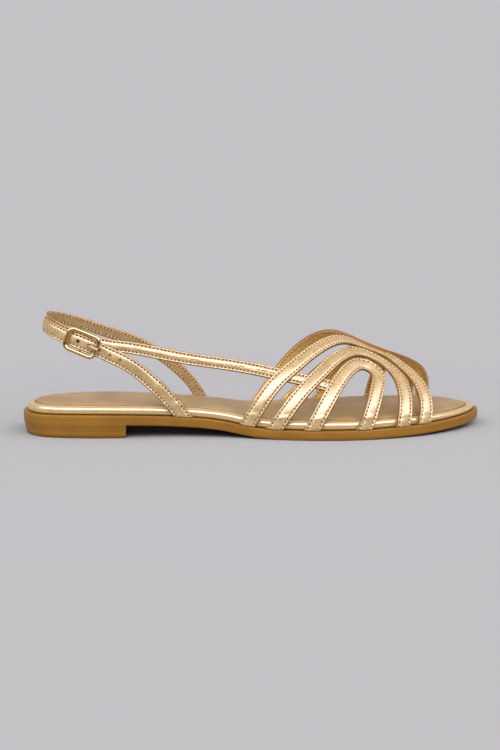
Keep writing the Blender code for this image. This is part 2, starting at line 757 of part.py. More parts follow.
def build_buckle(sling_line):
    line, normal = hoop_path(BUCKLE_STRAP, 1)
    lift = blend(column(BUCKLE_STRAP, 0)[::-1], column(BUCKLE_STRAP, 3)[::-1],
                 share(line[:, 0]))[:, None] * STRAP_THICKNESS
    line = rested(line - normal * lift, sling_line, normal) + normal * lift
    station = BUCKLE_STATION - SOLE_LENGTH / 2
    line, middle = crowned(line, normal, station)
    strap = strap_sheet("buckle_strap", line, normal, STRAP_WIDTH, 64,
                        (True, False), shoe, gold)
    run = lengths(line)

    def at(reach, table):
        return np.array([np.interp(middle + reach, run, table[:, k]) for k in range(3)])

    half = BUCKLE_LENGTH / 2 - BUCKLE_WIRE / 2
    chord = at(-half, line) - at(half, line)
    x_axis = Vector(chord).normalized()
    z_axis = Vector(at(0, normal))
    z_axis = (z_axis - x_axis * z_axis.dot(x_axis)).normalized()
    y_axis = z_axis.cross(x_axis)
    turn = Matrix((x_axis, y_axis, z_axis)).transposed().to_4x4()
    centre = Vector((at(half, line) + at(-half, line)) / 2)
    bow = (Vector(at(0, line)) - centre).dot(y_axis)
    centre += y_axis * bow / 2
    under_ends = [Vector(at(s, line)) - centre for s in
                  (half - BUCKLE_WIRE / 2, half + BUCKLE_WIRE / 2,
                   -half - BUCKLE_WIRE / 2, -half + BUCKLE_WIRE / 2)]
    rest = max(v.dot(z_axis) for v in under_ends) + STRAP_THICKNESS
    height = rest + PIECE_GAP + BUCKLE_WIRE / 2
    crown = (Vector(at(0, line)) - centre).dot(z_axis)
    sink = height - (crown - PIECE_GAP - BAR_WIRE / 2)
    place = Matrix.Translation(centre + z_axis * height) @ turn

    side = BUCKLE_WIDTH / 2 - BUCKLE_WIRE / 2
    bend = BUCKLE_CORNER - BUCKLE_WIRE / 2
    outline = []
    for corner, start in (((1, 1), 0), ((-1, 1), 90), ((-1, -1), 180), ((1, -1), 270)):
        for step in range(6):
            a = math.radians(start + 18 * step)
            outline.append((corner[0] * (half - bend) + bend * math.cos(a),
                            corner[1] * (side - bend) + bend * math.sin(a), 0.0))
    frame = wire("buckle_frame", [place @ Vector(p) for p in outline],
                 BUCKLE_WIRE / 2, True, shoe, metal)
    inner = side - 0.7 * BAR_WIRE / 2
    bar = [(0, side, 0), (0, side, -0.6 * sink), (0, inner, -sink),
           (0, -inner, -sink), (0, -side, -0.6 * sink), (0, -side, 0)]
    bar = wire("centre_bar", [place @ Vector(p) for p in bar], BAR_WIRE / 2, False, tools)
    as_cutter(bar)
    boolean(frame, bar, "UNION")

    spot = HOLES[1] * HOLE_SPACING
    radius = PRONG_WIRE / 2
    over = BUCKLE_WIRE / 2 + PIECE_GAP + radius
    root = -sink - 0.5 * PIECE_GAP
    prong = [(BAR_WIRE / 2 + PIECE_GAP + radius, 0, root),
             (spot - 1.2 * radius, 0, root), (spot - 0.2 * radius, 0, root + 0.8 * radius),
             (spot, 0, root + 1.8 * radius), (spot, 0, 0.0),
             (spot + 0.7 * radius, 0, 1.8 * radius), (spot + 2.3 * radius, 0, 2.8 * radius),
             (half - radius, 0, over), (half + 1.7 * radius, 0, over)]
    wire("buckle_prong", [place @ Vector(p) for p in prong], radius, False, shoe, metal)

    for k, share_out in enumerate(HOLES):
        reach = -share_out * HOLE_SPACING
        form = bmesh.new()
        bmesh.ops.create_cone(form, cap_ends=True, segments=HOLE_SIDES,
                              radius1=HOLE_SIZE / 2, radius2=HOLE_SIZE / 2,
                              depth=6 * STRAP_THICKNESS)
        up = Vector(at(reach, normal))
        spin = up.to_track_quat("Z", "Y").to_matrix().to_4x4()
        spot_at = Vector(at(reach, line)) + up * STRAP_THICKNESS / 2
        if k == 1:
            spot_at = place @ Vector((spot, 0, 0))
            spin = z_axis.to_track_quat("Z", "Y").to_matrix().to_4x4()
        form.transform(Matrix.Translation(spot_at) @ spin)
        mesh = bpy.data.meshes.new("hole_%d" % (k + 1))
        form.to_mesh(mesh)
        form.free()
        punch = add_mesh("hole_%d" % (k + 1), mesh, tools)
        as_cutter(punch)
        boolean(strap, punch, "DIFFERENCE")


build_sole()
build_footbed()
build_buckle(build_upper())
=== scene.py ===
import math

import bpy
import numpy as np
from mathutils import Matrix, Vector


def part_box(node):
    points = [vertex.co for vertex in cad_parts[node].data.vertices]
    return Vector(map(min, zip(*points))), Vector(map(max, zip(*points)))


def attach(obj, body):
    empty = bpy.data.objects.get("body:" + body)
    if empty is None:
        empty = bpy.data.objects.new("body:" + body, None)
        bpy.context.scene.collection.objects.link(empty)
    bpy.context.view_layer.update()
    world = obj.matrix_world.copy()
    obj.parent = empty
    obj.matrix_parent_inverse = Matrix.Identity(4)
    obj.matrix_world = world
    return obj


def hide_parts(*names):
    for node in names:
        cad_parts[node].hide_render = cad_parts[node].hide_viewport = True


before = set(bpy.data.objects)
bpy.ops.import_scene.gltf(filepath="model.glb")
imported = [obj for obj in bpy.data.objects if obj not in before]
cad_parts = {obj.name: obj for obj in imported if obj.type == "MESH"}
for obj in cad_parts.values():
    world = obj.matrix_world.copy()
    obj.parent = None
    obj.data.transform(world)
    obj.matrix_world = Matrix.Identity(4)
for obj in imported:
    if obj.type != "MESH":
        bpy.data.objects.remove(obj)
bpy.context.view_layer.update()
soleLow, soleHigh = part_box("outsole")
print("frame loaded")

# Sizes of the last and sole, in metres, as the frame has them
last = {
    "length": soleHigh.x - soleLow.x,
    "width": 0.0890,
    "heelRise": 0.0072,
    "toeSpring": 0.0036,
    "soleThickness": 0.0050,
    "ledge": 0.0023,  # how far the footbed stands in from the sole's edge
    "gap": 0.0003,
    "instep": 0.0500,
    "slingHeight": 0.0590,
    "power": 1.35,  # fullness of the last's cross-section
    "toeOffset": 0.0074,
}

# Plan of the sole: share of length, half widths as shares of the width
planRows = (
    # along, lateral, medial
    (0.010, 0.138, 0.123),
    (0.045, 0.256, 0.240),
    (0.110, 0.312, 0.312),
    (0.200, 0.335, 0.328),
    (0.330, 0.330, 0.268),
    (0.400, 0.346, 0.256),
    (0.450, 0.371, 0.288),
    (0.560, 0.459, 0.402),
    (0.650, 0.497, 0.473),
    (0.740, 0.477, 0.500),
    (0.840, 0.393, 0.461),
    (0.920, 0.257, 0.387),
    (0.975, 0.098, 0.275),
)

# Underside: share of length, share of heelRise, share of toeSpring
undersideRows = (
    # along, heel, toe
    (0.000, 0.95, 0.00),
    (0.120, 1.00, 0.00),
    (0.235, 0.96, 0.00),
    (0.336, 0.82, 0.00),
    (0.400, 0.65, 0.00),
    (0.432, 0.50, 0.00),
    (0.464, 0.28, 0.00),
    (0.506, 0.08, 0.00),
    (0.548, 0.00, 0.00),
    (0.600, 0.00, 0.00),
    (0.690, 0.00, 0.00),
    (0.740, 0.00, 0.06),
    (0.810, 0.00, 0.22),
    (0.880, 0.00, 0.44),
    (0.950, 0.00, 0.74),
    (1.000, 0.00, 1.00),
)

# Top line of the last: share of length, share of instep, share of the width
topLineRows = (
    # along, height, across
    (0.000, 2.200, 0.000),
    (0.300, 1.680, 0.010),
    (0.450, 1.360, 0.015),
    (0.550, 1.122, 0.020),
    (0.620, 1.054, 0.020),
    (0.680, 0.986, 0.022),
    (0.720, 0.878, 0.025),
    (0.760, 0.789, 0.030),
    (0.800, 0.716, 0.040),
    (0.840, 0.666, 0.050),
    (0.880, 0.622, 0.060),
    (0.920, 0.577, 0.070),
    (0.960, 0.500, 0.080),
    (1.000, 0.340, 0.085),
)

# Centre lines of the looped straps on the last: share of length, degrees up from the
# sole's edge (90 is the top line), lift in strap thicknesses, degrees of roll
loopRows = {  # along, turn, lift, roll
    "lateralInner": (
        (0.608, 0, 0.0, 0),
        (0.634, 14, 0.0, 8),
        (0.668, 32, 0.0, 4),
        (0.694, 44, 0.0, 0),
        (0.714, 52, 0.0, -6),
        (0.730, 55, 0.0, -16),
        (0.752, 52, 0.0, -16),
        (0.760, 47, 0.0, -10),
        (0.752, 37, 0.0, 0),
        (0.740, 23, 0.0, 8),
        (0.728, 10, 0.0, 8),
        (0.716, 0, 0.0, 0),
    ),
    "lateralMiddle": (
        (0.532, 0, 0.0, 0),
        (0.582, 20, 0.0, 8),
        (0.638, 39, 0.0, 2),
        (0.684, 55, 0.3, 4),
        (0.720, 67, 0.5, -4),
        (0.744, 69, 0.5, -4),
        (0.770, 66, 0.4, -2),
        (0.794, 58, 0.1, -2),
        (0.810, 25, 0.0, 0),
        (0.800, 0, 0.0, 0),
    ),
    "lateralOuter": (
        (0.476, 0, 0.0, 0),
        (0.502, 12, 0.0, 0),
        (0.540, 28, 0.0, 0),
        (0.584, 41, 0.4, 0),
        (0.644, 59, 1.0, 0),
        (0.728, 80, 1.1, 0),
        (0.794, 78, 1.1, 0),
        (0.816, 66, 0.8, 0),
        (0.846, 46, 0.3, 0),
        (0.856, 20, 0.0, 0),
        (0.848, 0, 0.0, 0),
    ),
    "medialInner": (
        (0.652, 0, 0.0, 0),
        (0.680, 13, 0.0, 0),
        (0.710, 32, 0.0, 0),
        (0.728, 46, 0.5, 0),
        (0.748, 59, 0.7, 0),
        (0.772, 60, 0.7, 0),
        (0.788, 50, 0.3, 0),
        (0.788, 22, 0.0, 0),
        (0.780, 0, 0.0, 0),
    ),
    "medialMiddle": (
        (0.576, 0, 0.0, 0),
        (0.650, 22, 0.0, 0),
        (0.698, 43, 0.2, 0),
        (0.724, 59, 0.9, 0),
        (0.748, 70, 1.2, 0),
        (0.772, 72, 1.2, 0),
        (0.798, 70, 1.1, 0),
        (0.822, 62, 0.5, 0),
        (0.860, 26, 0.0, 0),
        (0.866, 0, 0.0, 0),
    ),
    "medialOuter": (
        (0.510, 0, 0.0, 0),
        (0.544, 14, 0.0, 0),
        (0.580, 31, 0.2, 0),
        (0.612, 45, 0.9, 0),
        (0.656, 63, 1.7, 0),
        (0.728, 83, 1.8, 0),
        (0.808, 80, 1.8, 0),
        (0.840, 70, 1.4, 0),
        (0.878, 50, 0.8, 0),
        (0.896, 22, 0.1, 0),
        (0.896, 0, 0.0, 0),
    ),
}

# Sling round the heel: share of length, share of slingHeight, share of the last's half
# width (lateral is negative), sink below the last in strap thicknesses, degrees of lean
slingRows = (
    # along, height, across, sink, lean
    (0.392, 0.175, 1.03, -0.1, 0),
    (0.362, 0.380, 1.06, -0.1, 3),
    (0.312, 0.580, 1.05, 0.0, 6),
    (0.244, 0.755, 1.03, 0.0, 8),
    (0.172, 0.865, 0.97, 0.0, 8),
    (0.112, 0.960, 0.92, 0.0, 8),
    (0.076, 1.005, 0.72, 0.0, 8),
    (0.058, 1.030, 0.22, 0.0, 8),
    (0.060, 1.020, -0.22, 0.0, 8),
    (0.076, 0.985, -0.71, 0.0, 8),
    (0.108, 0.925, -0.92, 0.0, 8),
    (0.164, 0.845, -0.97, 0.0, 8),
    (0.244, 0.790, -1.00, 0.0, 9),
    (0.348, 0.700, -1.02, 0.0, 12),
    (0.472, 0.620, -1.02, 0.3, 18),
    (0.560, 0.545, -1.00, 0.7, 26),
    (0.654, 0.460, -1.00, 0.7, 30),
)

# Buckle strap, from the sole up and back to its tip: the same columns, with its lift
# outside the sling in strap thicknesses
buckleStrapRows = (
    # along, height, across, lift, lean
    (0.353, 0.130, -1.00, 0.1, 0.0),
    (0.322, 0.305, -1.01, 0.1, 3.0),
    (0.283, 0.479, -1.01, 0.5, 6.0),
    (0.237, 0.637, -0.99, 1.28, 8.0),
    (0.180, 0.762, -0.97, 1.28, 8.0),
    (0.133, 0.854, -0.94, 1.28, 8.0),
    (0.100, 0.907, -0.88, 1.28, 8.0),
    (0.076, 0.960, -0.70, 1.28, 8.0),
    (0.063, 0.990, -0.34, 1.28, 8.0),
)


def blendColumn(keys, values, at):  # smooth curve through the values
    at = np.clip(at, keys[0], keys[-1])
    slope = np.gradient(values, keys)
    i = np.clip(np.searchsorted(keys, at, side="right") - 1, 0, len(keys) - 2)
    span = keys[i + 1] - keys[i]
    s = (at - keys[i]) / span
    return ((2 * s ** 3 - 3 * s ** 2 + 1) * values[i]
            + (s ** 3 - 2 * s ** 2 + s) * span * slope[i]
            + (3 * s ** 2 - 2 * s ** 3) * values[i + 1]
            + (s ** 3 - s ** 2) * span * slope[i + 1])


def readRows(rows, index, at):  # a table's column, read at places along its first one
    table = np.array(rows, float)
    return blendColumn(table[:, 0], table[:, index], at)


def shareAlong(x):
    return np.clip(np.asarray(x, float) / last["length"] + 0.5, 0, 1)


def unit(vectors):
    return vectors / np.linalg.norm(vectors, axis=-1, keepdims=True)


def smoothLoop(points, per=12):  # closed curve through points
    p = np.asarray(points, float)
    before, after, beyond = np.roll(p, 1, 0), np.roll(p, -1, 0), np.roll(p, -2, 0)
    out = []
    for s in np.arange(per) / per:
        out.append(0.5 * (2 * p + (after - before) * s
                          + (2 * before - 5 * p + 4 * after - beyond) * s ** 2
                          + (3 * p - before - 3 * after + beyond) * s ** 3))
    return np.stack(out, 1).reshape(-1, p.shape[1])


def runOf(points):
    steps = np.linalg.norm(np.diff(points, axis=0), axis=1)
    return np.concatenate([[0.0], np.cumsum(steps)])


def pointsAt(points, run, at):
    return np.stack([np.interp(at, run, points[:, k]) for k in range(points.shape[1])], -1)


def planEdges():  # lateral and medial edge of the sole, both from heel to toe
    lateral = [(a, -l) for a, l, m in planRows]
    medial = [(a, m) for a, l, m in planRows]
    tip = (1.0, last["toeOffset"] / last["width"])
    loop = smoothLoop([(0.0, 0.0)] + lateral + [tip] + medial[::-1])
    low, high = loop.min(0), loop.max(0)
    loop = (loop - (low + high) / 2) / (high - low) * [last["length"], last["width"]]
    heel, toe = loop[:, 0].argmin(), loop[:, 0].argmax()
    return loop[heel:toe + 1], np.vstack([loop[toe:], loop[:heel + 1]])[::-1]


lateralEdge, medialEdge = planEdges()


def halfWidth(x, side):
    edge = lateralEdge if side < 0 else medialEdge
    return np.abs(np.interp(x, edge[:, 0], edge[:, 1]))


def edgeNormal(x, side):  # level direction out of the sole's edge
    step = 0.001
    slope = (halfWidth(x + step, side) - halfWidth(x - step, side)) / (2 * step)
    return unit(np.stack([-slope, side + 0 * slope], -1))


def underside(x):
    along = shareAlong(x)
    heel = np.maximum(readRows(undersideRows, 1, along), 0)
    toe = np.maximum(readRows(undersideRows, 2, along), 0)
    return heel * last["heelRise"] + toe * last["toeSpring"]


def deck(x):  # upper face of the sole
    return underside(x) + last["soleThickness"]


def lastSection(x, side):
    along = shareAlong(x)
    top = readRows(topLineRows, 1, along) * last["instep"]
    middle = readRows(topLineRows, 2, along) * last["width"]
    half = halfWidth(x, side) - last["ledge"] + 2 * last["gap"] - side * middle
    return middle, half, deck(x), top - deck(x)


def lastSurface(x, side, turn):
    middle, half, base, rise = lastSection(x, side)
    angle = np.radians(turn)
    y = middle + side * half * np.cos(np.maximum(angle, 0)) ** (2 / last["power"])
    z = base + rise * np.where(angle > 0, np.sin(angle), angle)
    return np.stack([x + 0 * y, y, z], -1)


def lastNormal(x, side, turn):
    along = lastSurface(x + 1e-4, side, turn) - lastSurface(x - 1e-4, side, turn)
    up = lastSurface(x, side, turn + 0.2) - lastSurface(x, side, turn - 0.2)
    return unit(np.cross(along, up) * (-side))


def lastReach(x, z, side):  # the last's half width at height z
    middle, half, base, rise = lastSection(x, side)
    low = np.clip((z - base) / rise, 0, 0.98)
    return half * (1 - low ** 2) ** (1 / last["power"]) + side * middle


# Leather straps: sizes in metres; stitches run a set distance in from both edges
strap = {
    "width": 0.0078,
    "slingWidth": 0.0064,
    "thickness": 0.0016,
    "crown": 1.135,  # height of the face's middle, in thicknesses, like the next three
    "holeDepth": 0.12,
    "threadHeights": (0.90, 0.02),  # on the face and on the lining
    "tipReach": 0.35,
    "tipThin": 0.45,  # share by which the tip's two faces draw together
    "middleGap": 0.0003,  # a narrow strap's rows stop this far off its middle
    "stitchPitch": 0.00205,
    "stitchInset": 0.00130,
    "threadLength": 0.00105,
    "threadWidth": 0.00040,
    "stepsPerStitch": 4,
    "evenLine": 0.0032,  # reach over which a path is evened out
    "evenNormal": 0.0050,
    "footBend": 0.0008,
    "runOn": 0.016,  # straight run below the sole, cut to the tuck
    "tuck": 0.0035,
}

# Half of a strap's cross-section, from the middle of its face round the folded edge to
# the middle of its lining: metres in from the edge, share of the thickness
strapSection = (
    # inward, height
    (0.00330, 1.130),
    (0.00270, 1.110),
    (0.00210, 1.060),
    (0.00168, 0.985),
    (0.00130, 0.810),
    (0.00098, 0.965),
    (0.00066, 1.035),
    (0.00030, 0.995),
    (0.00010, 0.860),
    (0.00000, 0.680),
    (0.00000, 0.320),
    (0.00010, 0.120),
    (0.00035, 0.020),
    (0.00098, 0.000),
    (0.00130, 0.050),
    (0.00168, 0.000),
    (0.00270, 0.000),
)
faceRows, edgeRows = 8, 12  # rows of faces up to the edge, and up to the lining


def onPath(path, at, key):
    return pointsAt(path[key], path["run"], at)


def pathOf(line, normal, width, bothFeet):
    # a strap's centre line and normals, run straight on below the sole at its feet
    grow = np.linspace(0, strap["runOn"], 24)[1:, None]
    head = line[0] + grow[::-1] * unit(line[0] - line[2])
    line = np.vstack([head, line])
    normal = np.vstack([normal[:1].repeat(len(grow), 0), normal])
    if bothFeet:
        tail = line[-1] + grow * unit(line[-1] - line[-3])
        line = np.vstack([line, tail])
        normal = np.vstack([normal, normal[-1:].repeat(len(grow), 0)])
    across = unit(np.cross(normal, unit(np.gradient(line, axis=0))))
    run = runOf(line)
    edges = [line + across * width * share for share in (-0.5, 0.5)]
    above = [run[edge[:, 2] > deck(edge[:, 0])] for edge in edges]
    start = min(part[0] for part in above) - strap["tuck"]
    end = max(part[-1] for part in above) + strap["tuck"] if bothFeet else run[-1]
    return {"line": line, "normal": normal, "across": across, "run": run, "width": width,
            "bothFeet": bothFeet, "start": start, "length": end - start}


def eased(table, run, reach):  # evens a path out over a short reach, its ends kept
    weight = np.exp(-0.5 * ((run[:, None] - run[None]) / reach) ** 2)
    soft = weight @ table / weight.sum(1, keepdims=True)
    share = np.clip(np.minimum(run, run[-1] - run) / (3 * reach), 0, 1)[:, None]
    return table * (1 - share) + soft * share


def loopPath(rows, side):
    rows = np.array(rows, float)
    turn = rows[:, 1]
    x = (rows[:, 0] - 0.5) * last["length"]
    run = runOf(lastSurface(x, side, turn))
    at = np.linspace(0, run[-1], 400)
    x, turn = blendColumn(run, x, at), blendColumn(run, turn, at)
    lift = blendColumn(run, rows[:, 2], at)[:, None] * strap["thickness"]
    normal = lastNormal(x, side, turn)
    line = lastSurface(x, side, turn) + normal * lift
    roll = np.radians(blendColumn(run, rows[:, 3], at))[:, None]
    across = unit(np.cross(normal, np.gradient(line, axis=0)))
    normal = normal * np.cos(roll) + across * np.sin(roll)
    line = eased(line, at, strap["evenLine"])
    normal = unit(eased(normal, at, strap["evenNormal"]))
    return pathOf(line, normal, strap["width"], True)


def hoopLine(rows, sign):  # sign 1 lifts the strap off the last, -1 sinks it
    rows = np.array(rows, float)
    x = (rows[:, 0] - 0.5) * last["length"]
    z = rows[:, 1] * last["slingHeight"]
    reach = np.where(rows[:, 2] > 0, lastReach(x, z, 1), lastReach(x, z, -1))
    points = np.stack([x, rows[:, 2] * reach, z], 1)
    run = runOf(points)
    at = np.linspace(0, run[-1], 600)
    line = np.stack([blendColumn(run, points[:, k], at) for k in range(3)], 1)
    level = np.gradient(line, axis=0)
    normal = np.stack([level[:, 1], -level[:, 0], 0 * at], 1)
    outside = (normal * (line * [1, 1, 0] + [0.05, 0, 0])).sum() > 0
    normal = unit(normal if outside else -normal)
    lean = np.radians(blendColumn(run, rows[:, 4], at))[:, None]
    normal = normal * np.cos(lean) + np.array([0, 0, 1.0]) * np.sin(lean)
    level = unit(level)
    normal = unit(normal - level * (normal * level).sum(1)[:, None])
    offset = blendColumn(run, rows[:, 3], at)[:, None] * strap["thickness"] * sign
    return line + normal * offset, normal


def restOn(line, carrier, normal):  # lays a strap's rear over the strap that carries it
    # on the lateral side of its rear; the hold fades from 1.2 to 2.2 widths below it
    near = carrier[(carrier[:, 1] < 0.1 * last["width"]) & (carrier[:, 0] < 0)]
    out = line.copy()
    for i, point in enumerate(line):
        gap = near[:, :2] - point[:2]
        k = np.clip(np.einsum("ij,ij->i", gap, gap).argmin(), 1, len(near) - 2)
        chord = near[k + 1] - near[k - 1]
        s = np.dot(point[:2] - near[k - 1, :2], chord[:2]) / np.dot(chord[:2], chord[:2])
        foot = near[k - 1] + s * chord
        below = foot[2] - point[2]
        weight = np.clip(2.2 - below / strap["width"], 0, 1)
        outward = unit(normal[i, :2])
        out[i, :2] += weight * (foot[:2] + outward * below * normal[i, 2] - point[:2])
    return out


def wipeSelection():
    if bpy.context.object and bpy.context.object.mode != "OBJECT":
        bpy.ops.object.mode_set(mode="OBJECT")
    bpy.ops.object.select_all(action="DESELECT")


def pickOnly(piece):
    wipeSelection()
    piece.select_set(True)
    bpy.context.view_layer.objects.active = piece


def coordsOf(piece):
    co = np.zeros(len(piece.data.vertices) * 3, np.float32)
    piece.data.vertices.foreach_get("co", co)
    return co.reshape(-1, 3).astype(float)


def setCoords(piece, co):
    piece.data.vertices.foreach_set("co", co.astype(np.float32).ravel())
    piece.data.update()


def editAll():
    bpy.ops.object.mode_set(mode="EDIT")
    bpy.ops.mesh.select_all(action="SELECT")


def leaveEdit():
    bpy.ops.object.mode_set(mode="OBJECT")


def paint(piece, *finishes):
    piece.data.materials.clear()
    for finish in finishes:
        piece.data.materials.append(finish)


def applyAll(piece):
    pickOnly(piece)
    for step in list(piece.modifiers):
        bpy.ops.object.modifier_apply(modifier=step.name)


def finishPiece(piece, name, nodes, angle):
    piece.name = piece.data.name = name
    pickOnly(piece)
    bpy.ops.object.shade_smooth_by_angle(angle=math.radians(angle))
    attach(piece, "root")
    if nodes:
        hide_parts(*nodes)


# Node helpers for the finishes
def startMaterial(name):
    made = bpy.data.materials.new(name)
    made.use_nodes = True
    place = addNode(made.node_tree, "ShaderNodeTexCoord").outputs["Object"]
    return made, made.node_tree, place


def feed(tree, node, inputs):  # links a socket, and writes a constant on its own socket
    for key, value in inputs.items():
        if isinstance(value, bpy.types.NodeSocket):
            tree.links.new(value, node.inputs[key])
        else:
            node.inputs[key].default_value = value


def addNode(tree, kind, inputs=None, **fields):
    node = tree.nodes.new(kind)
    for key, value in fields.items():
        setattr(node, key, value)
    feed(tree, node, inputs or {})
    return node


def setShader(tree, inputs):
    feed(tree, tree.nodes["Principled BSDF"], inputs)


def maths(tree, operation, a, b=0.0, c=0.0):
    node = addNode(tree, "ShaderNodeMath", {0: a, 1: b, 2: c}, operation=operation)
    return node.outputs[0]


def noise(tree, place, scale, detail, rough, distort=0.0):
    inputs = {"Vector": place, "Scale": scale, "Detail": detail, "Roughness": rough,
              "Distortion": distort}
    return addNode(tree, "ShaderNodeTexNoise", inputs).outputs["Fac"]


def ramp(tree, source, low, high, fromLow, fromHigh):
    inputs = {"Value": source, "From Min": fromLow, "From Max": fromHigh,
              "To Min": low, "To Max": high}
    node = addNode(tree, "ShaderNodeMapRange", inputs, interpolation_type="SMOOTHSTEP")
    return node.outputs["Result"]


def tint(tree, share, first, second):
    both = [value if isinstance(value, bpy.types.NodeSocket) else (*value, 1)
            for value in (first, second)]
    inputs = {"Factor": share, 6: both[0], 7: both[1]}
    return addNode(tree, "ShaderNodeMix", inputs, data_type="RGBA").outputs[2]


def bump(tree, height, strength, distance, before=None):
    inputs = {"Height": height, "Strength": strength, "Distance": distance}
    if before:
        inputs["Normal"] = before
    return addNode(tree, "ShaderNodeBump", inputs).outputs["Normal"]


goldLook = {
    "light": (0.50, 0.345, 0.130),
    "deep": (0.37, 0.228, 0.064),
    "cloudScale": 300.0,
    "crinkleScale": 1300.0,
    "grainScale": 3200.0,
    "metallic": 0.20,
    "ior": 2.7,
    "roughness": (0.22, 0.36),
    "bumpStrength": 0.30,
    "wornScale": 150.0,
    "wornShare": 0.30,
    "wornDark": 0.45,
}

# Painted shade in the holes pricked between the threads: mm off the stitch line and shares
# of the spacing off a thread's middle, each from no hole to a full one or back
prickedHoleShade = {
    "across": (0.30, 0.48),
    "along": (0.21, 0.28),
    "colour": (0.30, 0.122, 0.019),
    "cover": 0.97,
    "dull": 0.95,
    "rougher": 0.55,
}


def makeGold(name, look, stitched=False):
    made, tree, place = startMaterial(name)
    cloud = noise(tree, place, look["cloudScale"], 4.0, 0.6)
    crinkle = addNode(tree, "ShaderNodeTexVoronoi",
                      {"Vector": place, "Scale": look["crinkleScale"], "Randomness": 1.0},
                      feature="F1").outputs["Distance"]
    wave = noise(tree, place, look["crinkleScale"] * 0.5, 5.0, 0.65, 0.8)
    grain = noise(tree, place, look["grainScale"], 3.0, 0.6)
    share = ramp(tree, cloud, 0.0, 1.0, 0.32, 0.68)
    colour = tint(tree, share, look["deep"], look["light"])
    worn = noise(tree, place, look["wornScale"], 5.0, 0.7, 1.2)
    colour = tint(tree, ramp(tree, worn, 0.0, look["wornShare"], 0.60, 0.76), colour,
                  tuple(look["wornDark"] * c for c in look["deep"]))
    rough = ramp(tree, grain, *look["roughness"], 0.3, 0.7)
    metallic = look["metallic"]
    height = maths(tree, "ADD", wave, maths(tree, "MULTIPLY", crinkle, 0.5))
    if stitched:  # strapMap holds millimetres along the strap and in from its edge
        spread = addNode(tree, "ShaderNodeUVMap", uv_map="strapMap").outputs["UV"]
        parts = addNode(tree, "ShaderNodeSeparateXYZ", {"Vector": spread})
        off = maths(tree, "SUBTRACT", parts.outputs["Y"], strap["stitchInset"] * 1000)
        line = ramp(tree, maths(tree, "ABSOLUTE", off), 1.0, 0.0, *prickedHoleShade["across"])
        turn = maths(tree, "DIVIDE", parts.outputs["X"], strap["stitchPitch"] * 1000)
        off = maths(tree, "SUBTRACT", maths(tree, "FRACT", turn), 0.5)
        near = ramp(tree, maths(tree, "ABSOLUTE", off), 0.0, 1.0, *prickedHoleShade["along"])
        hole = maths(tree, "MULTIPLY", line, near)
        # painted shade of the pricked holes: dark brown dashes between the threads
        colour = tint(tree, maths(tree, "MULTIPLY", hole, prickedHoleShade["cover"]), colour,
                      prickedHoleShade["colour"])
        rough = maths(tree, "ADD", rough,
                      maths(tree, "MULTIPLY", hole, prickedHoleShade["rougher"]))
        metallic = maths(tree, "MAXIMUM", metallic,
                         maths(tree, "MULTIPLY", hole, prickedHoleShade["dull"]))
    normal = bump(tree, height, look["bumpStrength"], 0.0003)
    normal = bump(tree, grain, 0.18, 0.00008, normal)
    setShader(tree, {"Base Color": colour, "Roughness": rough, "Normal": normal,
                     "Metallic": metallic, "IOR": look["ior"]})
    return made


# Painted light: the vamp's lining is coloured lighter against the shade inside the vamp,
# and the sling's and buckle strap's lining darker because they are lit; one leather
# underneath
liningLookLiftedForShade = dict(goldLook, light=(0.95, 0.68, 0.28), deep=(0.76, 0.50, 0.175),
                  metallic=0.15, ior=1.55, roughness=(0.34, 0.5))
slingLiningLookDimmedForLight = dict(goldLook, light=(0.40, 0.265, 0.100), deep=(0.30, 0.180, 0.058),
                       ior=2.3)
footbedLook = dict(goldLook, light=(0.54, 0.375, 0.150), deep=(0.46, 0.300, 0.110),
                   crinkleScale=420.0, bumpStrength=0.10, roughness=(0.14, 0.22))
sockLook = dict(goldLook, light=(0.37, 0.250, 0.105), deep=(0.28, 0.175, 0.064),
                cloudScale=40.0, bumpStrength=0.12, metallic=0.10, ior=1.6,
                roughness=(0.42, 0.52))

# Edge paint of the cut edges, also used for the painted shade line along the footbed's base
edgeAndShadeLineLook = {"colour": (0.25, 0.112, 0.018), "dark": (0.17, 0.070, 0.010),
            "roughness": 0.5, "metallic": 0.0}
threadLook = {"colour": (0.86, 0.72, 0.47), "dark": (0.66, 0.50, 0.27),
              "roughness": 0.34, "metallic": 0.1}
# the last two darken the sole towards the floor, in patches
rubberLook = {"side": (0.246, 0.114, 0.013), "deep": (0.198, 0.088, 0.008),
              "darkToFloor": (0.060, 0.034, 0.010), "darkToFloorHeight": 0.0024, "roughness": (0.36, 0.5)}
metalLook = {"colour": (0.62, 0.41, 0.19), "roughness": (0.06, 0.12)}


def makePlain(name, look):  # edge paint, the painted shade line along the footbed's base, and thread
    made, tree, place = startMaterial(name)
    grain = noise(tree, place, 2400.0, 3.0, 0.6)
    share = ramp(tree, grain, 0.0, 1.0, 0.35, 0.65)
    colour = tint(tree, share, look["dark"], look["colour"])
    setShader(tree, {"Base Color": colour, "Normal": bump(tree, grain, 0.3, 0.0001),
                     "Roughness": look["roughness"], "Metallic": look["metallic"]})
    return made


